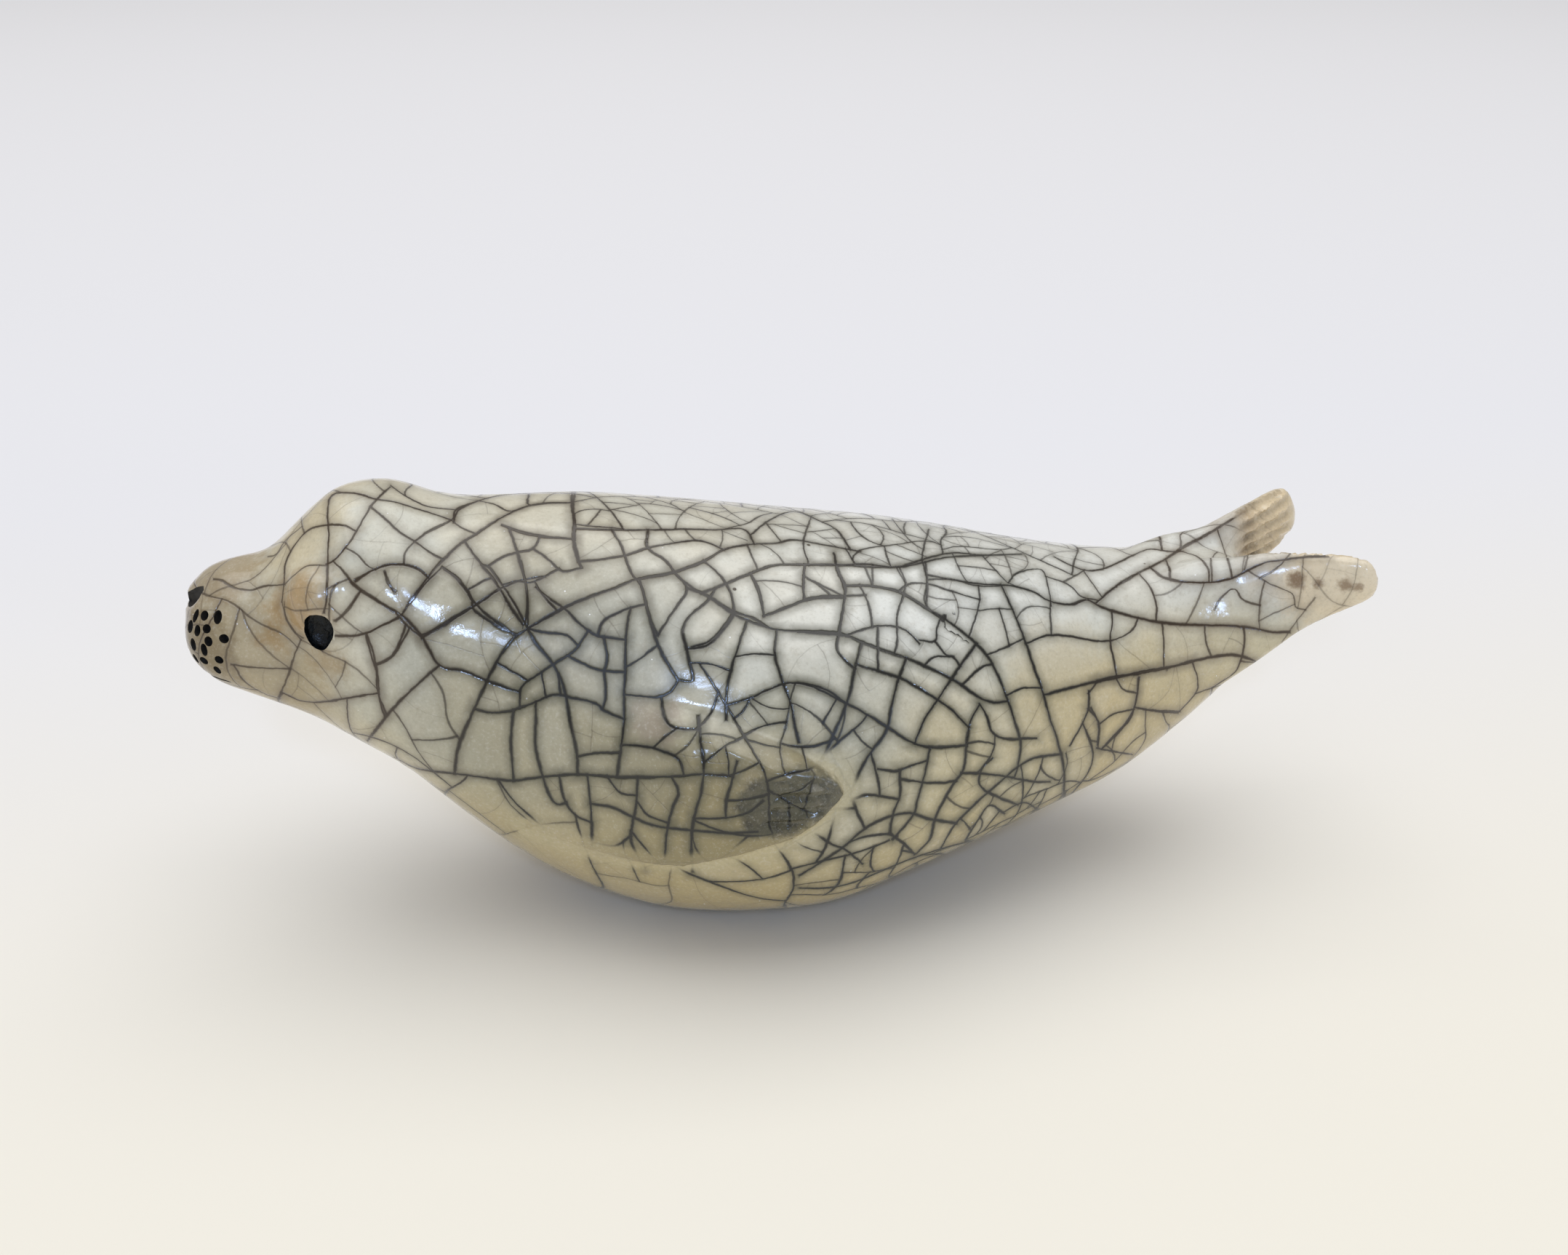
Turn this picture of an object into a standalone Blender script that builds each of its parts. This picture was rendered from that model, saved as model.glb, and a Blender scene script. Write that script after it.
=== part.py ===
"""Ceramic seal figurine: a fat seal lying on its belly with head and hind flippers raised.

One cast piece. +X runs from the nose to the hind flippers, +Z is up, and the origin is the
centre of the small flat that the belly is ground to. The seal is the same on both sides of
the XZ plane. The trunk is a loft through cross sections, the lumps and flippers are joined to
it and run into one skin, and the eyes, whisker pits, mouth and toes are cut into that skin.
"""

import math

import bmesh
import bpy
from mathutils import Matrix, Vector
from mathutils.bvhtree import BVHTree

for item in list(bpy.data.objects):
    bpy.data.objects.remove(item, do_unlink=True)

# Driving sizes, in metres
LENGTH = 0.1792             # nose to hind flipper tips
WIDTH = 0.070               # across the flanks
HEIGHT = 0.069              # rest to crown of the head
NOSE_X = -0.0790            # nose tip, measured from the centre of the rest
TRUNK_CAP = 0.00098         # last cross section to where the trunk closes between the hind flippers
TRUNK_END_HEIGHT = 0.0405   # height of that closing point
MUZZLE_CENTRE_HEIGHT = 0.0476
MUZZLE_DEPTH = 0.0082       # nose tip back to the middle of the muzzle
EYE_WIDTH = 0.0046
EYE_HEIGHT = 0.0056
EYE_SINK = 0.0017           # depth of the eye below the skin
LID_RADIUS = 0.0060         # mound that each eye sits in
LID_RISE = 0.0029
NOSE_RADIUS = 0.0036        # bulb over the nostrils
NOSE_RISE = 0.0007
PAD_RADIUS = 0.0066         # whisker pad
PAD_RISE = 0.0009
PIT_RADIUS = 0.00072        # whisker pit
PIT_DEPTH = 0.0013
NOSTRIL_RADIUS = 0.0010
MOUTH_RADIUS = 0.0006
FORE_THICKNESS = 0.0036     # how far the fore flipper's crest stands off the flank
FORE_EDGE = 0.15            # its upper edge's share of that thickness
FORE_CREST = 0.26           # share of its width from its upper edge to its crest
FORE_LIP = 0.62             # its lower edge's share of that thickness
FORE_SINK = 0.0002          # how far its feathered front lies under the skin
FORE_ROOT = 0.0025          # how deep the fore flipper is sunk in the flank
TOE_RADIUS = 0.00075        # toe groove
TOE_ARCH = 0.0004           # rise of a fore toe groove halfway along
TIP_SPREAD = 0.0338         # between the tips of the hind flippers
HIND_THICKNESS = 0.0056     # hind flipper, halfway along
HIND_RAKE = 0.28            # how far its lower edge runs on past its top, as a share of height
CUT_PROUD = 0.2             # share of a cutter's depth that its middle stands off the skin
GROOVE_PROUD = 0.35         # the same for the toe grooves, which are cut shallower
SKIN_GRID = 0.0006          # grid of the skin before it is thinned
SKIN_TRIANGLES = 8000       # triangles of the skin before the details are cut

# Trunk cross sections from the nose to the closing point: distance from the nose as a share of
# LENGTH, top and bottom as shares of HEIGHT, half width as a share of half WIDTH
SECTIONS = [
    (0.000, 0.723, 0.723, 0.000),
    (0.004, 0.774, 0.661, 0.125),
    (0.018, 0.828, 0.594, 0.229),
    (0.040, 0.846, 0.565, 0.291),
    (0.069, 0.861, 0.528, 0.320),
    (0.099, 0.930, 0.481, 0.350),
    (0.130, 0.990, 0.428, 0.450),
    (0.170, 1.000, 0.352, 0.530),
    (0.215, 0.954, 0.235, 0.612),
    (0.265, 0.941, 0.119, 0.700),
    (0.321, 0.934, 0.032, 0.800),
    (0.383, 0.908, -0.017, 0.909),
    (0.451, 0.875, -0.023, 0.983),
    (0.518, 0.845, -0.008, 1.000),
    (0.585, 0.820, 0.048, 0.929),
    (0.653, 0.788, 0.100, 0.814),
    (0.720, 0.752, 0.148, 0.671),
    (0.788, 0.728, 0.205, 0.529),
    (0.855, 0.718, 0.312, 0.376),
    (0.895, 0.712, 0.410, 0.310),
    (0.922, 0.680, 0.500, 0.220),
]
WIDEST = 0.46               # height of a section's widest line, from its bottom
RING_POINTS = 64
STEPS = 4                   # rings between two cross sections

# Fore flipper seen from the side: shares of LENGTH from the nose and of HEIGHT, shoulder to tip
FORE_TOP = [(0.262, 0.660), (0.330, 0.672), (0.385, 0.645), (0.440, 0.604), (0.478, 0.560), (0.506, 0.510)]
FORE_BOTTOM = [(0.262, 0.330), (0.320, 0.300), (0.375, 0.300), (0.425, 0.338), (0.480, 0.392), (0.512, 0.470)]

# Hind flipper: share of LENGTH, half spread as a share of TIP_SPREAD, height of its middle and
# half height as shares of HEIGHT, thickness as a share of HIND_THICKNESS, inward lean of its top
HIND = [
    (0.790, 0.215, 0.500, 0.150, 2.20, 0.25),
    (0.860, 0.228, 0.590, 0.145, 1.60, 0.28),
    (0.900, 0.240, 0.625, 0.122, 1.25, 0.28),
    (0.935, 0.290, 0.674, 0.098, 1.00, 0.20),
    (0.960, 0.348, 0.701, 0.082, 0.86, 0.10),
    (0.980, 0.405, 0.719, 0.070, 0.74, -0.05),
    (0.995, 0.455, 0.731, 0.054, 0.58, -0.15),
]
HIND_ROOT = (0.770, 0.172, 0.500)
HIND_TIP_HEIGHT = 0.726

# Whisker pits of one side, in degrees round the muzzle's middle from straight ahead, and up
PITS = [
    (48, 33), (59, 35), (74, 35), (43, 23), (54, 22), (64, 25), (66, 15), (80, 18),
    (49, 9), (61, 7), (58, -4), (73, -1), (46, -6), (68, -13),
]

# Nostril slit of one side, measured the same way, and the notch where the two slits meet
NOSTRIL = [(9, 36), (20, 39), (34, 45), (48, 52)]
NOTCH_RISE = 34

# Toe grooves: start and end as shares of LENGTH from the nose and of HEIGHT
FORE_TOES = [((0.452, 0.524), (0.503, 0.508)), ((0.450, 0.490), (0.507, 0.478)), ((0.446, 0.455), (0.503, 0.447)),
             ((0.443, 0.424), (0.491, 0.418))]
HIND_TOES = [0.655, 0.685, 0.715, 0.745, 0.772]
HIND_TOE_SPAN = (0.925, 0.987)
HIND_TOE_FALL = 0.024       # drop of a hind toe groove towards its front

# Places of the face: eye and lid as in the side view, the others in degrees round the muzzle
EYE_PLACE = (0.1145, 0.772)
EYE_FACING = (-0.30, 0.90, 0.12)
LID_PLACE = (0.110, 0.828)
NOSE_PLACE = (0, 42)
PAD_PLACE = (48, 8)
MOUTH_SPAN = 75
MOUTH_RISE = -24
MOUTH_DROOP = 0.06


def place(share_x, share_z):
    """Side view position: metres along X and Z from shares of the length and height."""
    return NOSE_X + share_x * LENGTH, share_z * HEIGHT


def smooth_row(rows, at):
    """Values at a place between the rows, on a curve that passes through every row."""
    i = min(int(at), len(rows) - 2)
    t = at - i
    before = rows[i - 1] if i > 0 else [2 * a - b for a, b in zip(rows[0], rows[1])]
    after = rows[i + 2] if i + 2 < len(rows) else [2 * a - b for a, b in zip(rows[-1], rows[-2])]
    values = []
    for p0, p1, p2, p3 in zip(before, rows[i], rows[i + 1], after):
        bend = (2 * p0 - 5 * p1 + 4 * p2 - p3) * t * t + (3 * p1 - p0 - 3 * p2 + p3) * t ** 3
        values.append(0.5 * (2 * p1 + (p2 - p0) * t + bend))
    return values


def new_object(name, mesh_builder):
    """Object from a bmesh, with its faces turned outward."""
    bmesh.ops.recalc_face_normals(mesh_builder, faces=mesh_builder.faces)
    mesh = bpy.data.meshes.new(name)
    mesh_builder.to_mesh(mesh)
    mesh_builder.free()
    made = bpy.data.objects.new(name, mesh)
    bpy.context.scene.collection.objects.link(made)
    return made


def loft(name, rings, first, last):
    """Closed skin through rings of points, drawn together to a point at both ends."""
    bm = bmesh.new()
    rows = [[bm.verts.new(p) for p in ring] for ring in rings]
    for a, b in zip(rows, rows[1:]):
        for i in range(len(a)):
            j = (i + 1) % len(a)
            bm.faces.new((a[i], a[j], b[j], b[i]))
    for row, tip in ((rows[0], first), (rows[-1], last)):
        end = bm.verts.new(tip)
        for i in range(len(row)):
            bm.faces.new((row[i], row[(i + 1) % len(row)], end))
    return new_object(name, bm)


def apply_modifier(target, kind, **settings):
    """Add one modifier to the object and bake it into the mesh."""
    modifier = target.modifiers.new(kind.lower(), kind)
    for key, value in settings.items():
        setattr(modifier, key, value)
    bpy.context.view_layer.objects.active = target
    bpy.ops.object.modifier_apply(modifier=modifier.name)


def combine(target, tools, operation):
    """Join the tools to the target, or cut them out of it, one after another."""
    for tool in tools:
        apply_modifier(target, "BOOLEAN", object=tool, operation=operation, solver="EXACT")
        bpy.data.objects.remove(tool, do_unlink=True)


def ellipsoid(name, centre, sizes, turn=None, rings=12):
    """Ellipsoid with the given half sizes, its Z axis turned along a direction."""
    bm = bmesh.new()
    bmesh.ops.create_uvsphere(bm, u_segments=rings * 2, v_segments=rings, radius=1.0)
    turning = turn.to_track_quat("Z", "Y").to_matrix().to_4x4() if turn else Matrix.Identity(4)
    bm.transform(Matrix.Translation(centre) @ turning @ Matrix.Diagonal((*sizes, 1.0)))
    return new_object(name, bm)


def rod(name, points, radius, sides=6):
    """Round rod through a row of points, drawn in at both ends."""
    curve = bpy.data.curves.new(name, "CURVE")
    curve.dimensions = "3D"
    curve.bevel_depth = radius
    curve.bevel_resolution = sides // 2 - 2
    curve.use_fill_caps = True
    line = curve.splines.new("POLY")
    line.points.add(len(points) - 1)
    for i, (slot, point) in enumerate(zip(line.points, points)):
        slot.co = (*point, 1.0)
        slot.radius = 0.45 if i in (0, len(points) - 1) else 1.0
    made = bpy.data.objects.new(name, curve)
    bpy.context.scene.collection.objects.link(made)
    bpy.ops.object.select_all(action="DESELECT")
    made.select_set(True)
    bpy.context.view_layer.objects.active = made
    bpy.ops.object.convert(target="MESH")
    bm = bmesh.new()
    bm.from_mesh(made.data)
    bmesh.ops.remove_doubles(bm, verts=bm.verts, dist=1e-6)
    bmesh.ops.recalc_face_normals(bm, faces=bm.faces)
    bm.to_mesh(made.data)
    bm.free()
    return made


def trunk_rings():
    """Rings of the trunk, closer together where the cross sections are."""
    rings = []
    last = len(SECTIONS) - 1
    steps = last * STEPS
    for step in range(1, steps + 1):
        x, top, bottom, half = smooth_row(SECTIONS, step / STEPS)
        top, bottom = top * HEIGHT, bottom * HEIGHT
        middle = bottom + WIDEST * (top - bottom)
        ring = []
        for i in range(RING_POINTS):
            angle = 2 * math.pi * i / RING_POINTS
            across = math.copysign(abs(math.sin(angle)) ** 0.95, math.sin(angle))
            up = math.copysign(abs(math.cos(angle)) ** 0.95, math.cos(angle))
            reach = top - middle if up > 0 else middle - bottom
            ring.append((NOSE_X + x * LENGTH, across * half * WIDTH / 2, middle + up * reach))
        rings.append(ring)
    return rings


def make_trunk():
    """The seal's trunk, head and neck as one loft."""
    nose = (NOSE_X, 0, SECTIONS[0][1] * HEIGHT)
    end = (NOSE_X + SECTIONS[-1][0] * LENGTH + TRUNK_CAP, 0, TRUNK_END_HEIGHT)
    return loft("seal", trunk_rings(), nose, end)


def skin_tree(target):
    """Search tree over the faces of an object's mesh."""
    bm = bmesh.new()
    bm.from_mesh(target.data)
    tree = BVHTree.FromBMesh(bm)
    bm.free()
    return tree


def side_point(tree, x, z, side):
    """Point and outward normal of the skin at a place of the side view."""
    point, normal, _, _ = tree.ray_cast(Vector((x, side * WIDTH, z)), Vector((0, -side, 0)))
    return point, normal


def muzzle_point(tree, azimuth, rise, side):
    """Point and outward normal of the muzzle's skin, seen from its middle."""
    middle = Vector((NOSE_X + MUZZLE_DEPTH, 0, MUZZLE_CENTRE_HEIGHT))
    a, r = math.radians(azimuth), math.radians(rise)
    away = Vector((-math.cos(a) * math.cos(r), side * math.sin(a) * math.cos(r), math.sin(r)))
    point, normal, _, _ = tree.ray_cast(middle + away * WIDTH, -away)
    return point, normal


def lump(name, point, normal, radius, rise, stretch=(1.0, 1.0)):
    """Ellipsoid sunk in the skin so that it stands out by its rise."""
    return ellipsoid(name, point + normal * (rise - radius), (radius * stretch[0], radius * stretch[1], radius), normal)


def fore_swell(share):
    """Fore flipper's thickness, as a share of its crest's, from its upper edge to its lower."""
    if share < FORE_CREST:
        return FORE_EDGE + (1 - FORE_EDGE) * math.sin(share / FORE_CREST * math.pi / 2)
    return 1 - (1 - FORE_LIP) * (share - FORE_CREST) / (1 - FORE_CREST)


def fore_flipper(tree, side):
    """Fore flipper pressed to the flank, thin along its top and thick along its lower edge."""
    rows, columns = 22, 12
    outer, inner = [], []
    for i in range(rows + 1):
        at = i / rows * (len(FORE_TOP) - 1)
        top = place(*smooth_row(FORE_TOP, at))
        bottom = place(*smooth_row(FORE_BOTTOM, at))
        out_row, in_row = [], []
        for j in range(columns + 1):
            share = j / columns
            x = top[0] + (bottom[0] - top[0]) * share
            z = top[1] + (bottom[1] - top[1]) * share
            point, normal = side_point(tree, x, z, side)
            shoulder = min(1.0, i / rows * 2.2) ** 1.3
            out_row.append(point + normal * (FORE_THICKNESS * shoulder * fore_swell(share) - FORE_SINK))
            in_row.append(point - normal * FORE_ROOT)
        outer.append(out_row)
        inner.append(in_row)
    bm = bmesh.new()
    sheets = [[[bm.verts.new(p) for p in row] for row in sheet] for sheet in (outer, inner)]
    for sheet in sheets:
        for a, b in zip(sheet, sheet[1:]):
            for j in range(columns):
                bm.faces.new((a[j], a[j + 1], b[j + 1], b[j]))
    rim = [(i, 0) for i in range(rows)] + [(rows, j) for j in range(columns)]
    rim += [(i, columns) for i in range(rows, 0, -1)] + [(0, j) for j in range(columns, 0, -1)]
    for (i, j), (k, m) in zip(rim, rim[1:] + rim[:1]):
        bm.faces.new((sheets[0][i][j], sheets[0][k][m], sheets[1][k][m], sheets[1][i][j]))
    return new_object("fore", bm)


def hind_flipper(side):
    """One upright paddle of the tail, spread outward from the other."""
    rings = []
    steps = (len(HIND) - 1) * STEPS
    for step in range(steps + 1):
        x, spread, height, half, thick, lean = smooth_row(HIND, step / STEPS)
        centre = Vector((NOSE_X + x * LENGTH, side * spread * TIP_SPREAD, height * HEIGHT))
        ring = []
        for i in range(28):
            angle = 2 * math.pi * i / 28
            across = side * math.sin(angle) * thick * HIND_THICKNESS / 2
            up = math.cos(angle) * half * HEIGHT
            ring.append(centre + Vector((-0.45 * side * across - HIND_RAKE * up, across - side * lean * up, up)))
        rings.append(ring)
    root_x, root_spread, root_z = HIND_ROOT
    root = (NOSE_X + root_x * LENGTH, side * root_spread * TIP_SPREAD, root_z * HEIGHT)
    tip = (NOSE_X + LENGTH, side * TIP_SPREAD / 2, HIND_TIP_HEIGHT * HEIGHT)
    return loft("hind", rings, root, tip)


def groove(tree, start, end, side):
    """Rod half sunk in the skin between two fore toes, along a line of the side view."""
    points = []
    for i in range(6):
        share = i / 5
        x = start[0] + (end[0] - start[0]) * share
        z = start[1] + (end[1] - start[1]) * share + TOE_ARCH * math.sin(share * math.pi)
        point, normal = side_point(tree, x, z, side)
        if point is not None:
            points.append(point + normal * TOE_RADIUS * GROOVE_PROUD)
    return rod("groove", points, TOE_RADIUS)


def inner_groove(tree, height, side):
    """Rod half sunk in the inner face of a hind flipper, between two toes."""
    points = []
    for i in range(5):
        share = i / 4
        x = NOSE_X + (HIND_TOE_SPAN[0] + share * (HIND_TOE_SPAN[1] - HIND_TOE_SPAN[0])) * LENGTH
        z = (height + HIND_TOE_FALL * (share - 0.5)) * HEIGHT
        point, normal, _, _ = tree.ray_cast(Vector((x, 0, z)), Vector((0, side, 0)))
        if point is not None:
            points.append(point + normal * TOE_RADIUS * GROOVE_PROUD)
    return rod("groove", points, TOE_RADIUS) if len(points) > 1 else None


def add_forms(seal):
    """Join the lumps of the face and the four flippers to the trunk and run them into one skin."""
    tree = skin_tree(seal)
    nose, up = muzzle_point(tree, *NOSE_PLACE, 1)
    forms = [lump("nose", nose, up, NOSE_RADIUS, NOSE_RISE, (1.25, 1.0))]
    for side in (-1, 1):
        point, normal = side_point(tree, *place(*LID_PLACE), side)
        forms.append(lump("lid", point, normal, LID_RADIUS, LID_RISE))
        point, normal = muzzle_point(tree, *PAD_PLACE, side)
        forms.append(lump("pad", point, normal, PAD_RADIUS, PAD_RISE, (1.0, 1.12)))
        forms.append(hind_flipper(side))
    combine(seal, forms, "UNION")
    run_together(seal, 22)
    combine(seal, [fore_flipper(tree, side) for side in (-1, 1)], "UNION")
    run_together(seal, 7)


def run_together(seal, strokes):
    """Turn joined forms into one even skin and soften the seams, more with more strokes."""
    apply_modifier(seal, "REMESH", mode="VOXEL", voxel_size=SKIN_GRID)
    apply_modifier(seal, "SMOOTH", factor=0.5, iterations=strokes)


def thin_out(seal):
    """Bring the skin down to its number of triangles, fewest where it is flattest."""
    count = sum(len(face.vertices) - 2 for face in seal.data.polygons)
    apply_modifier(seal, "DECIMATE", ratio=SKIN_TRIANGLES / count)


def cut_details(seal):
    """Cut the eyes, nostrils, whisker pits, mouth and toes, and grind the belly flat."""
    tree = skin_tree(seal)
    tools = []
    for side in (-1, 1):
        point, normal = side_point(tree, *place(*EYE_PLACE), side)
        facing = Vector((EYE_FACING[0], side * EYE_FACING[1], EYE_FACING[2])).normalized()
        sizes = (EYE_WIDTH / 2, EYE_HEIGHT / 2, EYE_SINK)
        tools.append(ellipsoid("eye", point + normal * EYE_SINK * CUT_PROUD, sizes, facing, rings=8))
        for azimuth, rise in PITS:
            point, normal = muzzle_point(tree, azimuth, rise, side)
            sizes = (PIT_RADIUS, PIT_RADIUS, PIT_DEPTH)
            tools.append(ellipsoid("pit", point + normal * PIT_DEPTH * CUT_PROUD, sizes, normal, rings=4))
        for start, end in FORE_TOES:
            tools.append(groove(tree, place(*start), place(*end), side))
        for height in HIND_TOES:
            tools.append(inner_groove(tree, height, side))
    nose = [muzzle_point(tree, a, r, -1) for a, r in reversed(NOSTRIL)] + [muzzle_point(tree, 0, NOTCH_RISE, 1)]
    nose += [muzzle_point(tree, a, r, 1) for a, r in NOSTRIL]
    tools.append(rod("nostrils", [p + n * NOSTRIL_RADIUS * CUT_PROUD for p, n in nose], NOSTRIL_RADIUS))
    mouth = []
    for i in range(-5, 6):
        azimuth = abs(i) / 5 * MOUTH_SPAN
        mouth.append(muzzle_point(tree, azimuth, MOUTH_RISE - azimuth * MOUTH_DROOP, math.copysign(1, i)))
    tools.append(rod("mouth", [p + n * MOUTH_RADIUS * CUT_PROUD for p, n in mouth], MOUTH_RADIUS))
    combine(seal, [tool for tool in tools if tool], "DIFFERENCE")
    bm = bmesh.new()
    bmesh.ops.create_cube(bm, size=1.0)
    bm.transform(Matrix.Translation((0, 0, -LENGTH / 2)) @ Matrix.Diagonal((3 * LENGTH, 3 * LENGTH, LENGTH, 1.0)))
    combine(seal, [new_object("ground", bm)], "DIFFERENCE")


def tidy(seal):
    """Split the skin into triangles and dissolve those with no width."""
    bm = bmesh.new()
    bm.from_mesh(seal.data)
    bmesh.ops.triangulate(bm, faces=bm.faces)
    bmesh.ops.dissolve_degenerate(bm, edges=bm.edges, dist=0.00001)
    bmesh.ops.triangulate(bm, faces=bm.faces)
    bmesh.ops.recalc_face_normals(bm, faces=bm.faces)
    bm.to_mesh(seal.data)
    bm.free()


figure = make_trunk()
add_forms(figure)
thin_out(figure)
cut_details(figure)
tidy(figure)
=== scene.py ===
"""Seal figurine in raku-fired clay: ivory glaze with smoked crackle over one cast body.

The body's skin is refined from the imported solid. The eyes, whisker pits, nostrils and mouth are
cut into it with fine tools, the crackle is worked out as a network of curves on that skin, and
the glaze reads the network from attributes of the mesh.
"""

import logging
import math
from dataclasses import dataclass, field
from enum import Enum

import bmesh
import bpy
import numpy as np
from mathutils import Euler, Matrix, Vector
from mathutils.bvhtree import BVHTree


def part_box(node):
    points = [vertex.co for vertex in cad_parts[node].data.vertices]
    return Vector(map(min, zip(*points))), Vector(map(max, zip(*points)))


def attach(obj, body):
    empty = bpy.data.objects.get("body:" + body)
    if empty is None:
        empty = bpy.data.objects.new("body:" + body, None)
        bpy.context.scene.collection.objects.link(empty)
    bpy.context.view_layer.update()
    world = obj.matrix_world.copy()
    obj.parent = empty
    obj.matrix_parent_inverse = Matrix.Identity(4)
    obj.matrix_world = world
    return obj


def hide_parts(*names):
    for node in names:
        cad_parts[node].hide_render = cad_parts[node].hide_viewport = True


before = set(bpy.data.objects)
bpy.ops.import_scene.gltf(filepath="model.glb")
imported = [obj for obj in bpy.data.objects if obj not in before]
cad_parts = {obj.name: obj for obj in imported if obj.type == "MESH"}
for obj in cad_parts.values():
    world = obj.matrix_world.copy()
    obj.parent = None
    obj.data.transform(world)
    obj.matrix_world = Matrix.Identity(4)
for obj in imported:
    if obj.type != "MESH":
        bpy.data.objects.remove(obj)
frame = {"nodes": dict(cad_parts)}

log = logging.getLogger("seal")

NODE = "seal"
MM = 0.001


class Side(Enum):
    """The two sides of the seal, by the sign of Y."""

    NEAR = -1
    FAR = 1


@dataclass(frozen=True)
class View:
    """The camera's viewpoint and the frame of pixels that it takes in."""

    focal: float = 38.4
    sensor: float = 36.0
    place: tuple[float, float, float] = (-0.0269, -0.2323, 0.1573)
    tilt: float = 63.8
    turn: float = -9.0
    frame: tuple[int, int] = (2156, 1725)

    def turning(self) -> Euler:
        """Turn of the camera."""
        return Euler((math.radians(self.tilt), 0, math.radians(self.turn)))

    def project(self, points: np.ndarray) -> tuple[np.ndarray, np.ndarray]:
        """Where points stand in the frame.

        Args:
            points: places in metres, one a row.

        Returns:
            Their pixels, and how many pixels a metre takes at each.
        """
        local = (points - np.array(self.place)) @ np.array(self.turning().to_matrix())
        scale = self.focal / self.sensor * self.frame[0] / -local[:, 2]
        middle = np.array(self.frame) / 2
        return middle + local[:, :2] * (1, -1) * scale[:, None], scale


def read_points(mesh: bpy.types.Mesh, what: str) -> np.ndarray:
    """Read the vertices' places ("co") or normals ("normal"), one a row."""
    values = np.empty(len(mesh.vertices) * 3, np.float32)
    mesh.vertices.foreach_get(what, values)
    return values.reshape(-1, 3).astype(float)


def smooth_row(row: np.ndarray, steps: int) -> np.ndarray:
    """Smooth curve that passes through every point of a row.

    Args:
        row: the points.
        steps: pieces of curve between two of them.

    Returns:
        The curve's points.
    """
    row = np.vstack((2 * row[0] - row[1], row, 2 * row[-1] - row[-2]))
    curve = [row[1]]
    for p0, p1, p2, p3 in zip(row, row[1:], row[2:], row[3:]):
        for t in np.arange(1, steps + 1) / steps:
            bend = (2 * p0 - 5 * p1 + 4 * p2 - p3) * t * t + (3 * p1 - p0 - 3 * p2 + p3) * t ** 3
            curve.append(0.5 * (2 * p1 + (p2 - p0) * t + bend))
    return np.array(curve)


def beside(points: np.ndarray, curve: np.ndarray) -> tuple[np.ndarray, np.ndarray]:
    """Measure points of a plane against a curve in it.

    Args:
        points: the points.
        curve: the curve's own points.

    Returns:
        Each point's distance from the curve, above 0 on its one side and below 0 on its
        other, and the way along the curve to its nearer end, below 0 past an end.
    """
    start, step = curve[:-1], np.diff(curve, axis=0)
    length = np.linalg.norm(step, axis=1)
    off = points[:, None] - start
    share = (off * step).sum(2) / length ** 2
    gap = np.linalg.norm(off - step * np.clip(share, 0, 1)[:, :, None], axis=2)
    best = gap.argmin(1)
    rows = np.arange(len(points))
    across = (step[best, 0] * off[rows, best, 1] - step[best, 1] * off[rows, best, 0]) / length[best]
    share, gap = share[rows, best], gap[rows, best]
    before = (best == 0) & (share < 0)
    after = (best == len(length) - 1) & (share > 1)
    value = np.where(before | after, across, np.copysign(gap, across))
    passed = np.append(0, np.cumsum(length))
    along = passed[best] + share * length[best]
    return value, np.minimum(along, passed[-1] - along)


def within(points: np.ndarray, outline: np.ndarray) -> np.ndarray:
    """How far points of a plane lie inside a closed outline, below 0 outside it."""
    closed = np.vstack((outline, outline[:1]))
    start, end = closed[:-1], closed[1:]
    x, y = points[:, :1], points[:, 1:]
    rise = np.where(end[:, 1] == start[:, 1], 1e-9, end[:, 1] - start[:, 1])
    crossed = (start[:, 1] > y) != (end[:, 1] > y)
    left = x < (end[:, 0] - start[:, 0]) * (y - start[:, 1]) / rise + start[:, 0]
    inner = (crossed & left).sum(1) % 2 == 1
    off = points[:, None] - start
    step = end - start
    share = np.clip((off * step).sum(2) / np.maximum((step ** 2).sum(1), 1e-12), 0, 1)
    gap = np.linalg.norm(off - step * share[:, :, None], axis=2).min(1)
    return np.where(inner, gap, -gap)


@dataclass(frozen=True)
class Drawing:
    """Cracks drawn over an enlarged part of the view.

    The corner is the part's upper left pixel in the frame. Each line is the few points of the
    enlarged part that its curve passes through.
    """

    corner: tuple[int, int]
    enlarged: float
    lines: tuple[tuple[tuple[int, int], ...], ...]

    def pixels(self) -> list[np.ndarray]:
        """Points of each line as rows of pixels in the frame."""
        return [np.array(line) / self.enlarged + self.corner for line in self.lines]


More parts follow.
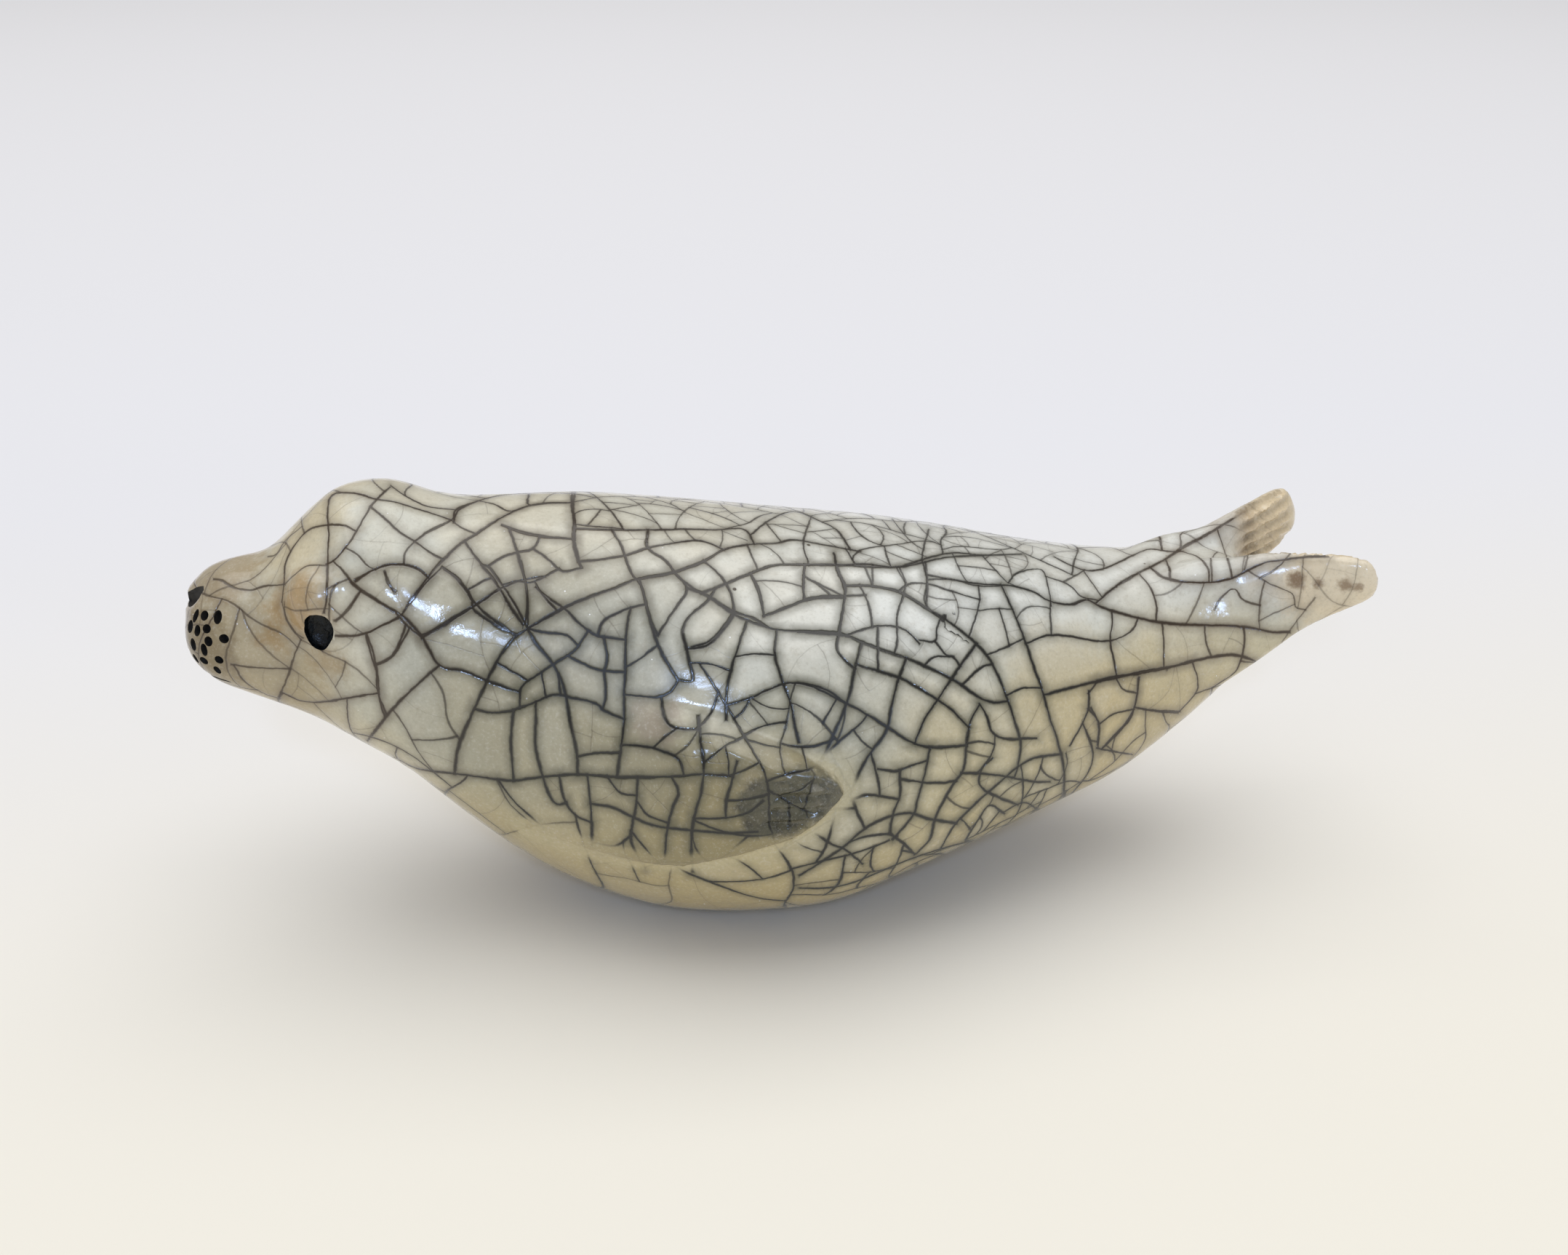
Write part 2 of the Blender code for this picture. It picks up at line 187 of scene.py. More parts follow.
DRAWINGS = {
    "SHOULDER_AND_FLANK": Drawing((460, 770), 2.6, (
        ((0, 270), (60, 270), (110, 262), (180, 230), (240, 195)),
        ((240, 195), (310, 270), (375, 375), (460, 395), (545, 430), (605, 452), (660, 470)),
        ((380, 372), (300, 440), (200, 540), (120, 642)),
        ((545, 430), (500, 530), (465, 610), (440, 680), (425, 765)),
        ((215, 705), (300, 745), (430, 762), (560, 780), (640, 788), (740, 775), (870, 765), (1010, 775),
         (1150, 775), (1250, 770), (1320, 765), (1405, 775)),
        ((545, 430), (590, 345), (640, 280), (690, 245), (770, 200), (880, 145), (1000, 100), (1090, 65),
         (1200, 45), (1300, 2)), ((690, 245), (690, 170), (685, 90), (655, 5)),
        ((690, 245), (650, 165), (600, 90), (555, 30), (540, 0)),
        ((690, 252), (760, 260), (830, 268), (865, 290)),
        ((690, 245), (730, 310), (780, 370), (815, 440), (830, 500), (845, 590), (865, 680), (872, 765)),
        ((315, 268), (380, 240), (450, 195), (520, 150), (600, 100), (670, 72), (750, 68)),
        ((385, 25), (330, 80), (270, 150), (240, 195)),
        ((385, 25), (440, 70), (490, 140), (500, 180), (590, 240), (645, 270)),
        ((55, 75), (120, 120), (165, 150), (240, 195)), ((75, 75), (150, 30), (220, 15), (290, 30), (340, 65)),
        ((180, 45), (200, 90), (240, 130)), ((0, 215), (50, 170), (95, 110)),
        ((115, 265), (135, 350), (150, 400), (155, 470), (180, 555)),
        ((150, 370), (200, 350), (230, 300), (258, 225)), ((0, 497), (70, 490), (155, 475)),
        ((660, 470), (680, 440), (740, 400), (800, 360), (860, 320), (905, 262)),
        ((500, 540), (560, 545), (640, 535), (720, 505), (790, 480), (860, 495), (930, 510), (970, 540),
         (1030, 572)), ((660, 465), (660, 535)), ((640, 535), (630, 640), (635, 720), (645, 788)),
        ((718, 505), (720, 580), (718, 660), (735, 740), (760, 820), (790, 870), (805, 885)),
        ((585, 370), (640, 400), (700, 432)), ((735, 405), (760, 490)),
        ((720, 90), (770, 140), (830, 180), (880, 230), (940, 270), (1040, 280)),
        ((935, 265), (960, 220), (1010, 190), (1060, 170), (1112, 158)),
        ((1068, 175), (1045, 240), (1040, 330), (1040, 400), (1035, 480), (1035, 570), (1025, 660),
         (1010, 775)), ((970, 285), (975, 350), (965, 400), (970, 475), (960, 530)),
        ((1090, 65), (1110, 140), (1130, 220), (1155, 300), (1190, 370), (1230, 430)),
        ((1230, 430), (1200, 470), (1150, 490), (1045, 490)),
        ((1350, 90), (1330, 150), (1270, 200), (1245, 250), (1255, 300), (1270, 370), (1280, 430), (1235, 430)),
        ((1470, 220), (1440, 320), (1410, 420), (1400, 500), (1400, 570)),
        ((1400, 515), (1480, 495), (1560, 460), (1620, 440), (1700, 445), (1770, 470), (1830, 500)),
        ((1570, 250), (1575, 340), (1600, 430), (1630, 510), (1645, 590), (1660, 650)),
        ((1260, 100), (1330, 125), (1390, 165), (1430, 185), (1500, 210), (1560, 245), (1660, 255),
         (1830, 262)), ((1040, 655), (1110, 665), (1180, 685), (1230, 710), (1255, 770)),
        ((870, 700), (930, 690), (1020, 690)),
        ((1300, 560), (1310, 650), (1320, 740), (1310, 830), (1290, 900), (1275, 1000), (1280, 1110)),
        ((1440, 720), (1420, 790), (1400, 860), (1405, 915)),
        ((1290, 930), (1400, 920), (1480, 900), (1530, 860)),
        ((925, 870), (1000, 885), (1070, 920), (1150, 950), (1275, 965), (1400, 975), (1510, 970)),
        ((920, 775), (915, 870), (920, 960), (915, 1055)),
        ((1080, 780), (1080, 860), (1065, 940), (1060, 1000), (1085, 1060), (1115, 1095)),
        ((1215, 775), (1230, 830), (1210, 880), (1190, 960), (1180, 1045)),
        ((812, 770), (820, 850), (860, 910), (920, 948)), ((590, 795), (640, 860), (700, 915), (745, 955)),
        ((920, 1018), (1000, 1022), (1062, 990)), ((990, 785), (1020, 830), (1080, 845)),
        ((1080, 870), (1120, 910), (1190, 945)), ((1110, 1095), (1180, 1080), (1280, 1070)),
        ((1040, 395), (960, 395), (900, 375), (840, 345)),
        ((1160, 490), (1180, 560), (1215, 600), (1310, 605)), ((1430, 340), (1500, 335), (1575, 340)),
        ((1275, 310), (1340, 290), (1390, 240), (1425, 190)), ((1280, 370), (1340, 370), (1410, 400)),
        ((800, 480), (790, 420)), ((1480, 50), (1520, 130), (1535, 200)),
        ((1535, 200), (1600, 175), (1700, 140), (1830, 135)), ((1680, 30), (1675, 110), (1690, 150)),
        ((1210, 30), (1260, 100), (1235, 150), (1200, 200), (1155, 265)),
    )),
    "HEAD_AND_NECK": Drawing((230, 640), 3.2, (
        ((515, 512), (430, 530), (360, 548), (290, 535), (240, 505), (205, 500)),
        ((600, 180), (590, 240), (590, 300)),
        ((515, 600), (515, 500), (520, 430), (560, 350), (620, 285), (700, 262), (780, 265), (820, 285)),
        ((740, 120), (712, 150), (705, 220), (710, 300), (705, 400), (705, 500), (700, 580), (690, 645)),
        ((690, 140), (740, 122), (830, 122), (910, 145), (1000, 160), (1100, 190), (1180, 215), (1250, 240)),
        ((1000, 75), (940, 130), (895, 180), (860, 240), (800, 340), (740, 410), (700, 440)),
        ((525, 530), (560, 480), (620, 440), (700, 435)),
        ((905, 185), (960, 235), (1020, 290), (1090, 335), (1160, 385), (1215, 420)),
        ((1090, 335), (1150, 290), (1250, 240), (1290, 190), (1370, 155)),
        ((1090, 335), (1050, 380), (1035, 435)),
        ((1070, 590), (1140, 500), (1215, 415), (1290, 345), (1360, 300), (1450, 240), (1550, 190),
         (1650, 165), (1770, 158)),
        ((830, 500), (900, 465), (960, 440), (1040, 435), (1110, 455), (1150, 495)),
        ((790, 365), (840, 395), (880, 440), (910, 465)),
        ((740, 425), (780, 470), (820, 525), (880, 570), (930, 600), (1000, 640)),
        ((850, 560), (800, 630), (760, 670), (725, 692)), ((715, 540), (760, 515), (800, 495)),
        ((955, 465), (970, 520), (1000, 560)), ((715, 745), (800, 750), (880, 735), (950, 700), (1020, 670)),
        ((995, 640), (1050, 700), (1120, 760)), ((1210, 435), (1270, 490), (1320, 550), (1350, 600)),
        ((1310, 350), (1370, 420), (1420, 480), (1460, 540), (1510, 620), (1570, 715)),
        ((1505, 280), (1530, 350), (1560, 450), (1580, 540), (1585, 620), (1575, 715)),
        ((1120, 755), (1200, 705), (1290, 650), (1380, 600), (1460, 545)),
        ((1415, 445), (1480, 400), (1550, 380), (1610, 365), (1640, 320)),
        ((1340, 540), (1390, 510), (1430, 490)),
        ((1470, 530), (1530, 510), (1600, 515), (1660, 490), (1710, 455)),
        ((1475, 262), (1540, 290), (1620, 310), (1700, 318), (1790, 322)),
        ((1250, 240), (1300, 275), (1355, 308)), ((1370, 155), (1440, 170), (1500, 200), (1550, 195)),
        ((980, 95), (1060, 140), (1150, 180), (1270, 195)),
        ((1780, 100), (1785, 180), (1795, 260), (1790, 322), (1800, 400), (1820, 440)),
        ((1615, 370), (1680, 415), (1740, 465), (1820, 490)),
        ((1585, 715), (1680, 660), (1750, 620), (1824, 590)), ((1610, 520), (1660, 580), (1700, 630)),
        ((505, 600), (520, 660), (560, 730), (590, 765)), ((1350, 600), (1410, 660), (1470, 700), (1530, 740)),
        ((445, 400), (480, 390), (520, 330), (545, 270)),
    )),
    "CHEEK": Drawing((230, 740), 3.0, (
        ((560, 430), (525, 480), (500, 560), (465, 660)), ((455, 270), (490, 330), (520, 380), (560, 410)),
        ((275, 525), (340, 530), (410, 535), (475, 528)), ((265, 520), (320, 590), (400, 640), (480, 665)),
        ((820, 400), (850, 470), (870, 580), (880, 680), (905, 725)),
        ((865, 520), (920, 490), (960, 440), (995, 370)),
        ((480, 640), (560, 672), (660, 672), (760, 655), (865, 638)),
    )),
    "REAR_FLANK": Drawing((1100, 760), 2.8, (
        ((0, 45), (140, 48), (250, 42), (370, 55), (460, 40), (560, 18), (700, 10), (850, 5)),
        ((130, 0), (145, 70), (175, 130), (165, 220), (150, 310), (145, 380), (185, 450)),
        ((20, 45), (15, 120), (10, 180)), ((15, 180), (80, 168), (165, 165)),
        ((15, 90), (80, 130), (120, 165)),
        ((175, 125), (250, 125), (340, 140), (420, 170), (500, 220), (560, 255), (620, 300), (680, 350),
         (730, 410), (770, 490), (800, 570), (830, 660), (850, 740), (830, 850), (820, 900)),
        ((375, 130), (420, 120), (490, 118), (560, 140), (640, 165), (690, 180)), ((265, 45), (280, 120)),
        ((370, 50), (400, 110)), ((485, 45), (490, 120), (480, 180), (500, 220)),
        ((500, 90), (600, 105), (700, 120), (800, 125), (900, 150), (960, 185), (1040, 200), (1100, 185)),
        ((0, 300), (80, 303), (160, 312), (240, 345), (320, 375), (410, 405), (500, 445), (600, 495),
         (680, 550), (740, 575), (795, 570)), ((240, 125), (265, 200), (285, 285)),
        ((400, 165), (375, 240), (375, 340), (375, 380)),
        ((190, 320), (260, 290), (340, 280), (410, 300), (460, 335)),
        ((460, 350), (520, 340), (530, 280), (560, 235), (580, 230)),
        ((240, 345), (215, 430), (200, 500), (180, 580), (120, 720), (75, 820)),
        ((220, 435), (300, 455), (380, 480), (440, 510), (520, 560), (580, 600), (650, 660)),
        ((300, 300), (300, 440)), ((405, 410), (375, 500), (350, 600), (330, 690), (250, 800), (160, 955)),
        ((670, 365), (600, 460), (540, 550), (480, 640), (445, 725)),
        ((0, 500), (60, 520), (150, 565), (220, 600), (330, 665), (420, 725), (500, 748), (590, 745),
         (635, 735)),
        ((690, 580), (655, 650), (640, 740), (630, 830), (590, 890), (555, 950), (520, 1020), (500, 1100),
         (440, 1160)), ((690, 585), (720, 630), (740, 690), (790, 715), (850, 715), (910, 712)),
        ((530, 345), (560, 390), (590, 400), (610, 430)), ((480, 435), (520, 400), (590, 395)),
        ((720, 395), (790, 365), (850, 345)),
        ((770, 130), (810, 200), (840, 270), (870, 350), (900, 440), (930, 520), (960, 630), (990, 720),
         (1015, 830), (1015, 935)), ((690, 130), (690, 200), (670, 300)), ((690, 215), (750, 215), (820, 218)),
        ((775, 225), (790, 290), (810, 350)), ((970, 185), (965, 260), (975, 310)),
        ((870, 350), (950, 318), (1030, 320), (1130, 338), (1190, 345)), ((930, 530), (860, 520), (800, 540)),
        ((940, 545), (1020, 525), (1120, 500), (1220, 480), (1320, 455), (1420, 440), (1512, 425)),
        ((640, 480), (700, 440), (730, 430)), ((495, 750), (480, 850), (450, 960), (435, 1010), (370, 1090)),
        ((300, 790), (300, 870), (295, 935)), ((300, 825), (370, 840), (420, 820), (470, 800)),
        ((390, 870), (450, 880), (540, 885), (620, 885)), ((200, 945), (260, 930), (360, 940)),
        ((395, 850), (385, 930), (360, 1000), (345, 1080)), ((190, 935), (220, 1000), (250, 1050)),
        ((60, 1080), (120, 1120), (170, 1140), (240, 1195)),
        ((0, 1240), (80, 1190), (170, 1130), (250, 1060), (330, 1020), (420, 1000), (500, 1025), (580, 1020)),
        ((345, 1080), (300, 1085), (240, 1095), (200, 1120)), ((345, 1095), (400, 1120), (450, 1155)),
        ((0, 1290), (100, 1290), (200, 1270), (300, 1230), (420, 1180), (540, 1140), (640, 1100)),
        ((640, 860), (700, 850), (790, 860), (900, 880), (960, 880)),
        ((740, 790), (700, 830), (690, 890), (740, 930), (820, 940)),
        ((620, 1030), (680, 960), (760, 890), (830, 830), (900, 790), (990, 770)),
        ((540, 1130), (600, 1040), (690, 960)), ((650, 1110), (690, 1020), (730, 970), (780, 1000)),
        ((1110, 540), (1110, 600), (1080, 670), (1040, 740)),
        ((1305, 480), (1295, 560), (1270, 640), (1210, 700), (1150, 770)),
        ((1295, 595), (1380, 610), (1460, 610)), ((1130, 590), (1150, 660), (1130, 740)),
        ((760, 1020), (860, 960), (920, 990)),
    )),
    "TAIL": Drawing((1450, 650), 3.2, (
        ((0, 370), (80, 410), (150, 430), (220, 420), (290, 390), (350, 360), (420, 335), (500, 345),
         (560, 345)), ((0, 440), (60, 490), (120, 545), (185, 570)),
        ((0, 575), (60, 580), (120, 560), (150, 560)),
        ((150, 560), (230, 600), (320, 625), (420, 650), (530, 665), (660, 670), (780, 672), (880, 685),
         (960, 700), (1040, 720)),
        ((190, 560), (270, 500), (370, 440), (470, 390), (560, 330), (640, 290), (740, 230), (820, 180)),
        ((140, 435), (170, 490), (200, 530)), ((50, 480), (130, 435)),
        ((380, 445), (425, 510), (450, 590), (455, 650)),
        ((420, 430), (480, 460), (570, 480), (680, 482), (780, 465), (850, 430), (930, 395), (1000, 385),
         (1100, 370), (1200, 365)), ((560, 345), (630, 370), (675, 420), (690, 480)),
        ((720, 280), (750, 350), (775, 420), (790, 465)),
        ((705, 600), (730, 550), (790, 510), (830, 560), (890, 590)),
        ((910, 490), (905, 560), (900, 650), (900, 690)),
        ((870, 455), (940, 485), (1000, 510), (1050, 535), (1060, 590), (1090, 605)),
        ((900, 645), (960, 620), (1030, 580)), ((1145, 550), (1090, 620), (1030, 700), (970, 790)),
        ((250, 600), (255, 660), (245, 740), (260, 820), (270, 900)),
        ((245, 735), (310, 715), (350, 680), (370, 660)), ((475, 655), (480, 720), (480, 800), (480, 865)),
        ((665, 670), (665, 740), (680, 810)), ((840, 690), (835, 750), (820, 820), (790, 880), (740, 930)),
        ((190, 912), (270, 893), (360, 885), (480, 860), (600, 830), (690, 810), (780, 800), (850, 815),
         (890, 830)), ((625, 845), (630, 910), (620, 970), (570, 1050)), ((620, 970), (700, 940)),
        ((370, 890), (365, 960), (350, 1030), (300, 1120), (210, 1210)), ((265, 920), (300, 950), (350, 968)),
        ((350, 1030), (430, 1045), (540, 1055)), ((195, 1105), (260, 1060), (350, 1035)),
        ((160, 1035), (190, 1090), (195, 1150), (185, 1210)), ((190, 915), (150, 960)),
        ((190, 1210), (260, 1225), (340, 1238)), ((815, 410), (850, 350), (830, 310), (850, 290)),
    )),
    "BACK": Drawing((600, 660), 2.2, (
        ((50, 125), (60, 90), (120, 65), (200, 45), (280, 40)), ((280, 40), (280, 75), (340, 70), (410, 68)),
        ((200, 135), (280, 160), (350, 172), (410, 175)),
        ((420, 35), (410, 80), (415, 130), (415, 180), (430, 240), (440, 265)),
        ((425, 145), (530, 150), (640, 150), (760, 148), (850, 150), (930, 148), (970, 185)),
        ((420, 255), (500, 240), (580, 225), (640, 205), (720, 190), (800, 183), (870, 190)),
        ((610, 300), (700, 285), (760, 265), (810, 245), (870, 210), (940, 195), (1030, 190), (1080, 180),
         (1170, 195), (1280, 215)),
        ((540, 150), (560, 200), (590, 280), (620, 320), (635, 380), (650, 430), (670, 470)),
        ((800, 355), (860, 320), (930, 290), (1020, 258), (1120, 255), (1220, 255), (1320, 262),
         (1400, 262), (1470, 240), (1560, 220), (1650, 222)),
        ((640, 160), (640, 205), (690, 240), (730, 290), (780, 330), (820, 350), (890, 400), (940, 425),
         (1000, 440)), ((820, 250), (860, 290), (890, 340), (900, 400), (870, 450), (820, 500), (760, 505)),
        ((950, 195), (980, 255)), ((955, 290), (980, 340), (990, 410)),
        ((995, 410), (1060, 385), (1140, 355), (1230, 350), (1300, 352)),
        ((1115, 255), (1110, 300), (1115, 360)), ((1120, 300), (1170, 320), (1225, 345)),
        ((1130, 120), (1110, 190), (1125, 250)),
        ((1200, 210), (1215, 270), (1235, 330), (1230, 400), (1220, 470)), ((1300, 265), (1320, 320)),
        ((1235, 320), (1320, 320), (1400, 335), (1470, 380), (1520, 420)),
        ((1400, 262), (1420, 310), (1400, 360)),
        ((1490, 150), (1475, 200), (1470, 240), (1485, 300), (1485, 380)),
        ((960, 160), (1010, 120), (1080, 95), (1150, 120), (1210, 150), (1260, 180)),
        ((1000, 145), (1040, 185)), ((1560, 220), (1600, 300), (1640, 310)),
        ((1640, 225), (1690, 270), (1730, 310), (1800, 330)),
        ((1730, 310), (1760, 280), (1830, 270), (1850, 320), (1860, 380)),
        ((1480, 300), (1560, 300), (1640, 320), (1720, 315)), ((1380, 120), (1430, 180), (1480, 210)),
    )),
}


def linear(colour: str) -> tuple[float, float, float, float]:
    """Turn an sRGB colour into the linear values that a shader takes.

    Args:
        colour: six hexadecimal digits, such as "c8c2ae".

    Returns:
        Linear red, green and blue, and an alpha of 1.
    """
    parts = [int(colour[i:i + 2], 16) / 255 for i in (0, 2, 4)]
    return (*[c / 12.92 if c <= 0.04045 else ((c + 0.055) / 1.055) ** 2.4 for c in parts], 1.0)


def select_only(target: bpy.types.Object) -> None:
    """Make one object the only selected one, and the active one."""
    bpy.ops.object.select_all(action="DESELECT")
    target.select_set(True)
    bpy.context.view_layer.objects.active = target


def apply_modifier(target: bpy.types.Object, kind: str, **settings) -> None:
    """Add one modifier to an object and bake it into the mesh.

    Args:
        target: the object to change.
        kind: the modifier's type, such as "REMESH".
        settings: the modifier's own properties.
    """
    modifier = target.modifiers.new(kind.lower(), kind)
    for key, value in settings.items():
        setattr(modifier, key, value)
    select_only(target)
    bpy.ops.object.modifier_apply(modifier=modifier.name)


def add_node(tree: bpy.types.NodeTree, kind: str, fill: dict | None = None, **settings) -> bpy.types.Node:
    """Add one shader node.

    Args:
        tree: the material's node tree.
        kind: the node's type name.
        fill: input sockets by name or number, each with a value or with the output to link to it.
        settings: the node's own properties.

    Returns:
        The new node.
    """
    node = tree.nodes.new(kind)
    for key, value in settings.items():
        setattr(node, key, value)
    for key, value in (fill or {}).items():
        if isinstance(value, bpy.types.NodeSocket):
            tree.links.new(value, node.inputs[key])
        else:
            node.inputs[key].default_value = value
    return node


def math_node(tree: bpy.types.NodeTree, operation: str, *values) -> bpy.types.NodeSocket:
    """Add a Math node and return its output."""
    return add_node(tree, "ShaderNodeMath", dict(enumerate(values)), operation=operation).outputs[0]


def ramp(tree: bpy.types.NodeTree, value, low: float, high: float, start=0.0, end=1.0) -> bpy.types.NodeSocket:
    """Bring a value from one span smoothly to another.

    Args:
        tree: the material's node tree.
        value: the socket to read.
        low: where the old span starts.
        high: where it ends.
        start: what low becomes.
        end: what high becomes.

    Returns:
        The result's socket.
    """
    fill = {"Value": value, "From Min": low, "From Max": high, "To Min": start, "To Max": end}
    return add_node(tree, "ShaderNodeMapRange", fill, interpolation_type="SMOOTHSTEP").outputs["Result"]


def mix(tree: bpy.types.NodeTree, share, first, second, blend: str = "MIX") -> bpy.types.NodeSocket:
    """Mix two colours by a share and return the result's socket."""
    fill = {"Factor": share, "A": first, "B": second}
    node = tree.nodes.new("ShaderNodeMix")
    node.data_type = "RGBA"
    node.blend_type = blend
    for key, value in fill.items():
        socket = next(s for s in node.inputs if s.name == key and s.type == ("VALUE" if key == "Factor" else "RGBA"))
        if isinstance(value, bpy.types.NodeSocket):
            tree.links.new(value, socket)
        else:
            socket.default_value = value
    return next(s for s in node.outputs if s.type == "RGBA")


def noise(tree: bpy.types.NodeTree, coords, size: float, detail: float = 2.0, roughness: float = 0.5) -> bpy.types.NodeSocket:
    """Add a cloudy pattern.

    Args:
        tree: the material's node tree.
        coords: where the pattern is read, in metres.
        size: distance between its patches, in metres.
        detail: number of finer layers.
        roughness: how strong the finer layers are.

    Returns:
        The pattern's value, mostly from 0.3 to 0.7.
    """
    fill = {"Vector": coords, "Scale": 1 / size, "Detail": detail, "Roughness": roughness}
    return add_node(tree, "ShaderNodeTexNoise", fill).outputs["Fac"]


@dataclass(frozen=True)
class PlainFinish:
    """A finish of one colour with a fine cloudy variation, for the small dark and bare places."""

    name: str
    colour: str
    second: str
    roughness: float
    grain: float
    bump: float
    shine: float = 0.5

    def material(self) -> bpy.types.Material:
        """Build the node material.

        Returns:
            The material, reading Object coordinates.
        """
        made = bpy.data.materials.new(self.name)
        made.use_nodes = True
        tree = made.node_tree
        shader = tree.nodes["Principled BSDF"]
        coords = add_node(tree, "ShaderNodeTexCoord").outputs["Object"]
        cloud = noise(tree, coords, self.grain, 4.0, 0.6)
        shade = ramp(tree, cloud, 0.35, 0.65)
        tree.links.new(mix(tree, shade, linear(self.colour), linear(self.second)), shader.inputs["Base Color"])
        bump = add_node(tree, "ShaderNodeBump", {"Height": cloud, "Distance": self.bump, "Strength": 0.6})
        tree.links.new(bump.outputs["Normal"], shader.inputs["Normal"])
        shader.inputs["Roughness"].default_value = self.roughness
        shader.inputs["Specular IOR Level"].default_value = self.shine
        return made


# Iron-black glaze pooled in the eye sockets, fired to a wet shine
EYE_GLAZE = PlainFinish("iron_black_glaze_pooled", "040506", "181e23", 0.14, 0.0009, 0.00040, 0.25)
# Clay inside the pits, nostrils and mouth, blackened by the smoke of the firing
SMOKED_CLAY = PlainFinish("raku_clay_smoke_blackened", "0f0e0c", "24201b", 0.60, 0.0006, 0.00010)
# Unglazed clay of the flat that the belly stands on
BARE_CLAY = PlainFinish("raku_clay_bare_ground_flat", "3a3733", "57514a", 0.85, 0.0010, 0.00015)


@dataclass(frozen=True)
class Patch:
    """A soft-edged place on both sides of the body.

    The centre is in metres, with Y counted away from the seal's middle plane. The patch is full
    within its core and gone past its reach.
    """

    centre: tuple[float, float, float]
    core: float
    reach: float
    strength: float = 1.0

    def share(self, tree: bpy.types.NodeTree, folded, ragged) -> bpy.types.NodeSocket:
        """How much of the patch shows.

        Args:
            tree: the material's node tree.
            folded: Object coordinates with Y made positive.
            ragged: what makes the edge uneven, in metres.

        Returns:
            The share's socket.
        """
        offset = add_node(tree, "ShaderNodeVectorMath", {0: folded, 1: self.centre}, operation="SUBTRACT").outputs[0]
        away = add_node(tree, "ShaderNodeVectorMath", {0: offset}, operation="LENGTH").outputs["Value"]
        return ramp(tree, math_node(tree, "ADD", away, ragged), self.core, self.reach, self.strength, 0.0)


@dataclass(frozen=True)
class Tint(Patch):
    """A patch of colour in the glaze."""

    colour: str = "b0a080"


